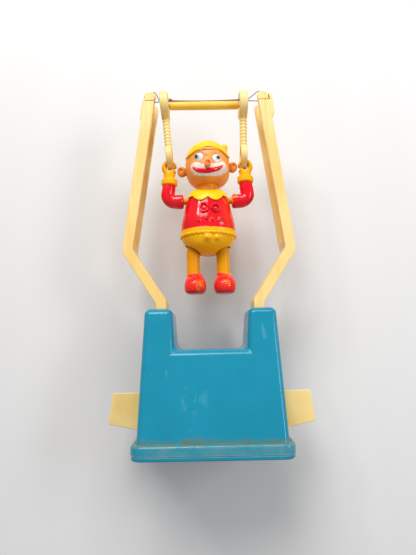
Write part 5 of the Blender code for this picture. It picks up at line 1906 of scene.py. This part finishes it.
armShape = {
    "innerX": 0.0113,
    "innerZ": 0.1110,
    "shoulderZ": 0.1112,
    "innerEnd": [(0.0, 0.45), (0.0001, 0.72), (0.0004, 0.90), (0.0009, 0.985)],
    "bend": (0.0156, 0.1143),
    "bendRadius": 0.0033,
    "sleeve": [0.00345, 0.00320, 0.00315, 0.00326, 0.00326, 0.00305],
    "handX": 0.0181,
    "cuffTopZ": {"left": 0.1221, "right": 0.1231},
    "cuffHeight": 0.0033,
    "cuffRadius": 0.00380,
    "gripZ": 0.1279,
    "axleRadius": 0.0014,
    "innerRun": 0.0018,
    "bendSteps": 12,
    "cuffLap": 0.0006,
    "cuffBore": 0.0022,
    "cuffRound": 0.0015,
    "boreReach": 0.0045,
    "boreRoom": 0.0002,
}
sleeveSpots = {
    "left": [((-0.0150, -0.0064, 0.1118), 0.0008)],
    "right": [((0.0135, -0.0058, 0.1135), 0.0016), ((0.0148, -0.0056, 0.1136), 0.0009)],
}
sleeveWear = {"left": 0.25, "right": 0.85}


def sleeveBare(name, side):
    def bare(tree):
        # paint rubbed off the rim of the inner end
        across = times(tree, calc(tree, "SUBTRACT", objectAxis(tree, "X"), clownX), side)
        ragged = calc(tree, "ADD", across, waver(tree, 700.0, 4.0, 0.0012))
        end = armShape["innerX"]
        rim = spread(tree, ragged, end + 0.0003, end + 0.0006, (1.0, 0.0))
        return times(tree, rim, sleeveWear[name])
    return bare


def sleevePath(name, handX):
    # (place, radius) pairs: a domed inner end, a bend as tight as the sleeve is thick, and a slim wrist
    shape = armShape
    thick = shape["sleeve"]
    bendX, bendZ = shape["bend"]
    turn = shape["bendRadius"]
    innerX, innerZ = shape["innerX"], shape["innerZ"]
    rows = [(innerX + along, innerZ, share * thick[0]) for along, share in shape["innerEnd"]]
    rows.append((innerX + shape["innerRun"], innerZ, thick[0]))
    for i in range(shape["bendSteps"] + 1):
        share = i / shape["bendSteps"]
        angle = math.radians(90.0 * share - 90.0)
        early = between(thick[1], thick[2], min(1.0, 2.0 * share))
        radius = early + (thick[3] - thick[2]) * max(0.0, 2.0 * share - 1.0)
        rows.append((bendX + turn * math.cos(angle), bendZ + turn * math.sin(angle), radius))
    footZ = shape["cuffTopZ"][name] - shape["cuffHeight"] + shape["cuffLap"]
    for share in (0.25, 0.5, 0.75, 1.0):
        radius = between(thick[4], thick[5], share ** 2)
        x = between(bendX + turn, abs(handX - clownX), share)
        rows.append((x, between(bendZ, footZ, share), radius))
    return rows


def makeSleeve(name, side, handX):
    path, radii = [], []
    for across, z, radius in sleevePath(name, handX):
        path.append(Vector((clownX + side * across, clownY, z)))
        radii.append(radius)
    bm = bmesh.new()
    tubeAlong(bm, path, radii, 56)
    axisZ = armShape["shoulderZ"]
    end = (path[0].x + side * armShape["boreReach"], clownY, axisZ)
    hole = rod((clownX, clownY, axisZ), end, armShape["axleRadius"] + armShape["boreRoom"])
    bm = shapeFrom(bm, [("DIFFERENCE", hole)])
    look = dict(redGloss, spots=sleeveSpots[name], bare=sleeveBare(name, side))
    finish = paintOver("sleevePaint_" + name, look)
    sleeve = addPiece("sleeve_" + name, bm, "arm_" + name, [finish], ["arm_" + name], 40.0)
    softenNormals(sleeve)


handShape = {
    "palm": [
        (121.4, 2.6, 2.3), (123.4, 2.62, 2.35), (124.6, 2.8, 2.4), (125.4, 2.95, 2.35), (126.0, 2.7, 2.0),
    ],
    "steps": 44,
    "arc": (-150.0, 188.0),
    "reach": (2.45, 2.60),
    "tall": 1.1,
    "thick": (1.32, 0.95),
    "depth": (2.15, 1.6),
    "ringRoom": 0.00025,
    "tipFrom": 0.92,
    "tipClosing": 0.6,
    "blendZ": (0.1252, 0.1268),
    "blendX": 0.0018,
}


def fingerPath(side, handX):
    # a curl round the ring to a tip beside the head: (place, thickness, depth)
    shape = handShape
    start, end = shape["arc"]
    path = []
    for i in range(shape["steps"] + 1):
        share = i / shape["steps"]
        late = share ** 2
        angle = math.radians(between(start, end, share))
        reach = between(*shape["reach"], late) * mm
        x = handX + side * reach * math.cos(angle)
        z = armShape["gripZ"] + shape["tall"] * reach * math.sin(angle)
        last = max(0.0, (share - shape["tipFrom"]) / (1.0 - shape["tipFrom"]))
        closing = 1.0 - shape["tipClosing"] * last ** 2
        thick = between(*shape["thick"], late) * mm * closing
        deep = between(*shape["depth"], late) * mm * closing
        path.append((Vector((x, clownY, z)), thick, deep))
    return path


def makeHand(name, side, handX):
    shape = handShape
    out, half = armShape["cuffRadius"], armShape["cuffHeight"] / 2.0
    bore = armShape["cuffBore"]
    section = [(-half, bore), (half, bore), (half, out), (-half, out)]
    upright = Matrix.Rotation(math.radians(-90.0), 4, "Y")
    place = Matrix.Translation((handX, clownY, armShape["cuffTopZ"][name] - half)) @ upright
    cuff = roundTurn(section, place, 56, armShape["cuffRound"], 7)
    palm = bmesh.new()
    stackRings(palm, (handX, clownY), [(z * mm, wide * mm, deep * mm) for z, wide, deep in shape["palm"]], 36)
    hook = fingerPath(side, handX)
    places = []
    for i, (here, thick, deep) in enumerate(hook):
        along = hook[min(i + 1, len(hook) - 1)][0] - hook[max(i - 1, 0)][0]
        places.append(ringFrame(here, along, Vector((0.0, 1.0, 0.0)), deep, thick))
    fingers = bmesh.new()
    growRings(fingers, places, 24)
    ring = ringTurn(side, shape["ringRoom"])
    bm = shapeFrom(palm, [("UNION", fingers), ("UNION", cuff), ("DIFFERENCE", ring)])
    low, high = shape["blendZ"]
    near = [v for v in bm.verts if low < v.co.z < high and abs(v.co.x - handX) > shape["blendX"]]
    for _ in range(3):
        relax(bm, near, 0.5)
    hand = addPiece("hand_" + name, bm, "arm_" + name, [handFinish], (), 50.0)
    softenNormals(hand)


for name, side in sides.items():
    handX = clownX + side * armShape["handX"]
    makeSleeve(name, side, handX)
    makeHand(name, side, handX)


axleShape = {
    "into": 0.0042,
    "endRound": 0.0002,
    "washer": [(0.0110, 0.0), (0.01092, 0.00025), (0.01045, 0.00025), (0.0103, 0.0)],
}


def makeAxle():
    shape = axleShape
    z, r, soft = armShape["shoulderZ"], armShape["axleRadius"], shape["endRound"]
    reach = armShape["innerX"] + shape["into"]
    profile = [(-reach, 0.0), (-reach, r - soft), (-reach + soft, r)]
    profile += [(-across, r + rise) for across, rise in shape["washer"]]
    profile += [(-along, out) for along, out in reversed(profile)]
    bm = turned(profile, Matrix.Translation((clownX, clownY, z)), 32)
    addPiece("shoulderPin", bm, "figure", [goldenFinish], ["shoulder_axle"], 40.0)


makeAxle()
print("arms made")

# legs and shoes

legShape = {
    "spread": trunkShape["legSpread"],
    "shift": trunkShape["legShift"],
    "radius": trunkShape["legRadius"],
    "hipZ": trunkShape["hipZ"],
    "hipBore": 0.0011,
    "boreReach": 0.0100,
    "ankleZ": 0.0756,
    "soleZ": 0.0666,
    "heel": 0.0012,
    "shoeHalf": 0.0050,
    "shoeLength": 0.0128,
    "shoeShift": {"left": 0.0009, "right": 0.0004},
    "toeLean": 0.42,
    "square": 0.12,
    "squareReach": 0.0060,
    "blendZ": (0.0750, 0.0775),
    "paintZ": 0.0758,
    "paintEdge": 0.00025,
    "paintTilt": 0.16,
    "paintLap": 0.0015,
    "rows": [
        (0.0726, 1.0, 1.0), (0.0760, 1.0, 1.0), (0.0800, 0.99, 0.99), (0.0850, 1.0, 1.0),
        (0.0876, 0.94, 0.97), (0.0895, 0.78, 0.93), (0.0920, 0.68, 0.90), (0.0934, 0.50, 0.62),
        (0.0938, 0.25, 0.30),
    ],
    "shoeRows": [
        (0.0, 0.40, 0.45), (0.015, 0.66, 0.70), (0.06, 0.83, 0.85), (0.14, 0.93, 0.94), (0.26, 0.98, 0.985),
        (0.42, 1.0, 1.0), (0.62, 0.96, 0.95), (0.80, 0.84, 0.80), (0.93, 0.70, 0.60), (1.02, 0.62, 0.49),
        (1.09, 0.59, 0.45), (1.12, 0.5, 0.40),
    ],
}


def shoeBare(side):
    def bare(tree):
        # the leg above the paint's brushed edge, which runs higher on the inside
        shape = legShape
        across = calc(tree, "SUBTRACT", objectAxis(tree, "X"), clownX + side * shape["spread"])
        lift = times(tree, across, -side * shape["paintTilt"])
        ragged = calc(tree, "SUBTRACT", waver(tree, 330.0, 3.0, 0.0010), lift)
        line = calc(tree, "ADD", objectAxis(tree), ragged)
        return spread(tree, line, shape["paintZ"], shape["paintZ"] + shape["paintEdge"])
    return bare


shoeSpots = {
    "left": [((-0.0040, -0.0110, 0.0702), 0.0026), ((-0.0042, -0.0105, 0.0684), 0.0014)],
    "right": [((0.0078, -0.0122, 0.0716), 0.0020)],
}


def makeLeg(name, side):
    shape = legShape
    x = clownX + side * shape["spread"] + shape["shift"]
    r = shape["radius"]
    leg = bmesh.new()
    stackRings(leg, (x, clownY), [(z, r * wide, r * deep) for z, wide, deep in shape["rows"]], 40)

    shoeX = x + shape["shoeShift"][name]
    halfLength = shape["shoeLength"] / 2.0
    middle = clownY + r + shape["heel"] - halfLength
    height = shape["ankleZ"] - shape["soleZ"]
    rows = []
    for share, wide, long in shape["shoeRows"]:
        shift = middle - clownY + (1.0 - long) * shape["shoeLength"] * shape["toeLean"] * share
        rows.append((shape["soleZ"] + height * share, shape["shoeHalf"] * wide, halfLength * long, shift))
    shoe = bmesh.new()
    stackRings(shoe, (shoeX, clownY), rows, 48)
    for vert in shoe.verts:
        # squarer toe and heel
        dx, dy = vert.co.x - shoeX, vert.co.y - middle
        vert.co.x += shape["square"] * dx * min(1.0, abs(dy) / shape["squareReach"])
    ends = [(x + reach, clownY, shape["hipZ"]) for reach in (-shape["boreReach"], shape["boreReach"])]
    bm = shapeFrom(shoe, [("UNION", leg), ("DIFFERENCE", rod(*ends, shape["hipBore"]))])
    low, high = shape["blendZ"]
    relax(bm, [v for v in bm.verts if low < v.co.z < high], 0.4)
    for face in bm.faces:
        bare = face.calc_center_median().z > shape["paintZ"] + shape["paintLap"]
        face.material_index = 1 if bare else 0
    look = dict(redGloss, bare=shoeBare(side), spots=shoeSpots[name], chips=0.725)
    look.update(base=(0.90, 0.026, 0.018), deep=(0.78, 0.012, 0.014), specular=0.32)
    look.update(under=legGold["base"], underDeep=legGold["deep"])
    finish = paintOver("shoePaint_" + name, look)
    node = "leg_" + name
    softenNormals(addPiece(node + "_shoe", bm, node, [finish, legFinish], [node], 48.0))


for name, side in sides.items():
    makeLeg(name, side)
print("legs made")

# CAD pins that stay

for node in ("pivot_pin_left", "pivot_pin_right", "hip_axle"):
    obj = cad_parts[node]
    obj.data.materials.clear()
    obj.data.materials.append(steelFinish)

# pale backdrop close behind, leaning away from the foot, and clear from the back

stageShape = {
    "nearY": 0.0262,
    "lean": 0.05,
    "reach": 1.5,
    "tone": (0.715, 0.712, 0.711),
    "grain": 0.985,
    "rough": 0.7,
    "specular": 0.15,
}


def paleBackdrop(look):
    mat = bpy.data.materials.new("paleBackdrop")
    mat.use_nodes = True
    tree = mat.node_tree
    shader = tree.nodes["Principled BSDF"]
    grain = noise(tree, 30.0, 3.0, 0.5, objectCoords(tree, stretch=(1.0, 1.0, 0.06)))
    darker = [look["grain"] * c for c in look["tone"]]
    colour = mixColour(tree, spread(tree, grain, 0.35, 0.65), look["tone"], darker)
    tree.links.new(colour, shader.inputs["Base Color"])
    shader.inputs["Roughness"].default_value = look["rough"]
    shader.inputs["Specular IOR Level"].default_value = look["specular"]
    clear = addNode(tree, "ShaderNodeBsdfTransparent").outputs["BSDF"]
    behind = addNode(tree, "ShaderNodeNewGeometry").outputs["Backfacing"]
    mix = addNode(tree, "ShaderNodeMixShader", {0: behind, 1: shader.outputs["BSDF"], 2: clear})
    tree.links.new(mix.outputs["Shader"], tree.nodes["Material Output"].inputs["Surface"])
    return mat


def makeStage(look):
    bm = bmesh.new()
    bmesh.ops.create_grid(
        bm, x_segments=8, y_segments=8, size=look["reach"],
        matrix=Matrix.Rotation(math.radians(90.0), 4, "X"),
    )
    for vert in bm.verts:
        vert.co.y = look["nearY"] + look["lean"] * vert.co.z
    if sum(f.normal.y for f in bm.faces) > 0.0:
        bmesh.ops.reverse_faces(bm, faces=bm.faces)
    mesh = meshOf(bm)
    mesh.shade_smooth()
    mesh.materials.append(paleBackdrop(look))
    backdrop = bpy.data.objects.new("backdrop", mesh)
    scene.collection.objects.link(backdrop)


makeStage(stageShape)

lightPlan = {
    "world": ((0.86, 0.86, 0.87), 0.46),
    "key": {
        "at": (-0.20, -0.60, 0.70), "aim": (0.0, 0.0, 0.08),
        "size": (0.36, 0.32), "energy": 3.3, "tone": (1.0, 0.985, 0.965),
    },
    "window": {
        "at": (-0.40, -0.44, 0.60), "aim": (0.0, 0.0, 0.10),
        "size": (0.08, 0.12), "energy": 0.75, "tone": (1.0, 0.99, 0.98),
    },
    "top": {
        "at": (0.02, -0.34, 0.64), "aim": (0.0, 0.0, 0.06),
        "size": (0.46, 0.18), "energy": 2.2, "tone": (1.0, 0.99, 0.98),
    },
    "fill": {
        "at": (0.42, -0.36, 0.16), "aim": (0.0, 0.0, 0.08),
        "size": (0.12, 0.26), "energy": 0.9, "tone": (0.97, 0.98, 1.0),
    },
    "rear": {
        "at": (0.15, 0.50, 0.40), "aim": (0.0, 0.0, 0.08),
        "size": (0.45, 0.45), "energy": 0.8, "tone": (1.0, 0.99, 0.97),
    },
}


def placeLights(plan):
    world = bpy.data.worlds.new("softRoom")
    scene.world = world
    world.use_nodes = True
    room = world.node_tree.nodes["Background"]
    room.inputs["Color"].default_value = (*plan["world"][0], 1.0)
    room.inputs["Strength"].default_value = plan["world"][1]
    for name in ("key", "window", "top", "fill", "rear"):
        look = plan[name]
        data = bpy.data.lights.new(name, "AREA")
        data.shape = "RECTANGLE"
        data.size, data.size_y = look["size"]
        data.energy = look["energy"]
        data.color = look["tone"]
        lamp = bpy.data.objects.new(name, data)
        scene.collection.objects.link(lamp)
        lamp.location = look["at"]
        lamp.rotation_euler = (Vector(look["aim"]) - Vector(look["at"])).to_track_quat("-Z", "Y").to_euler()


placeLights(lightPlan)
print("stage lit")
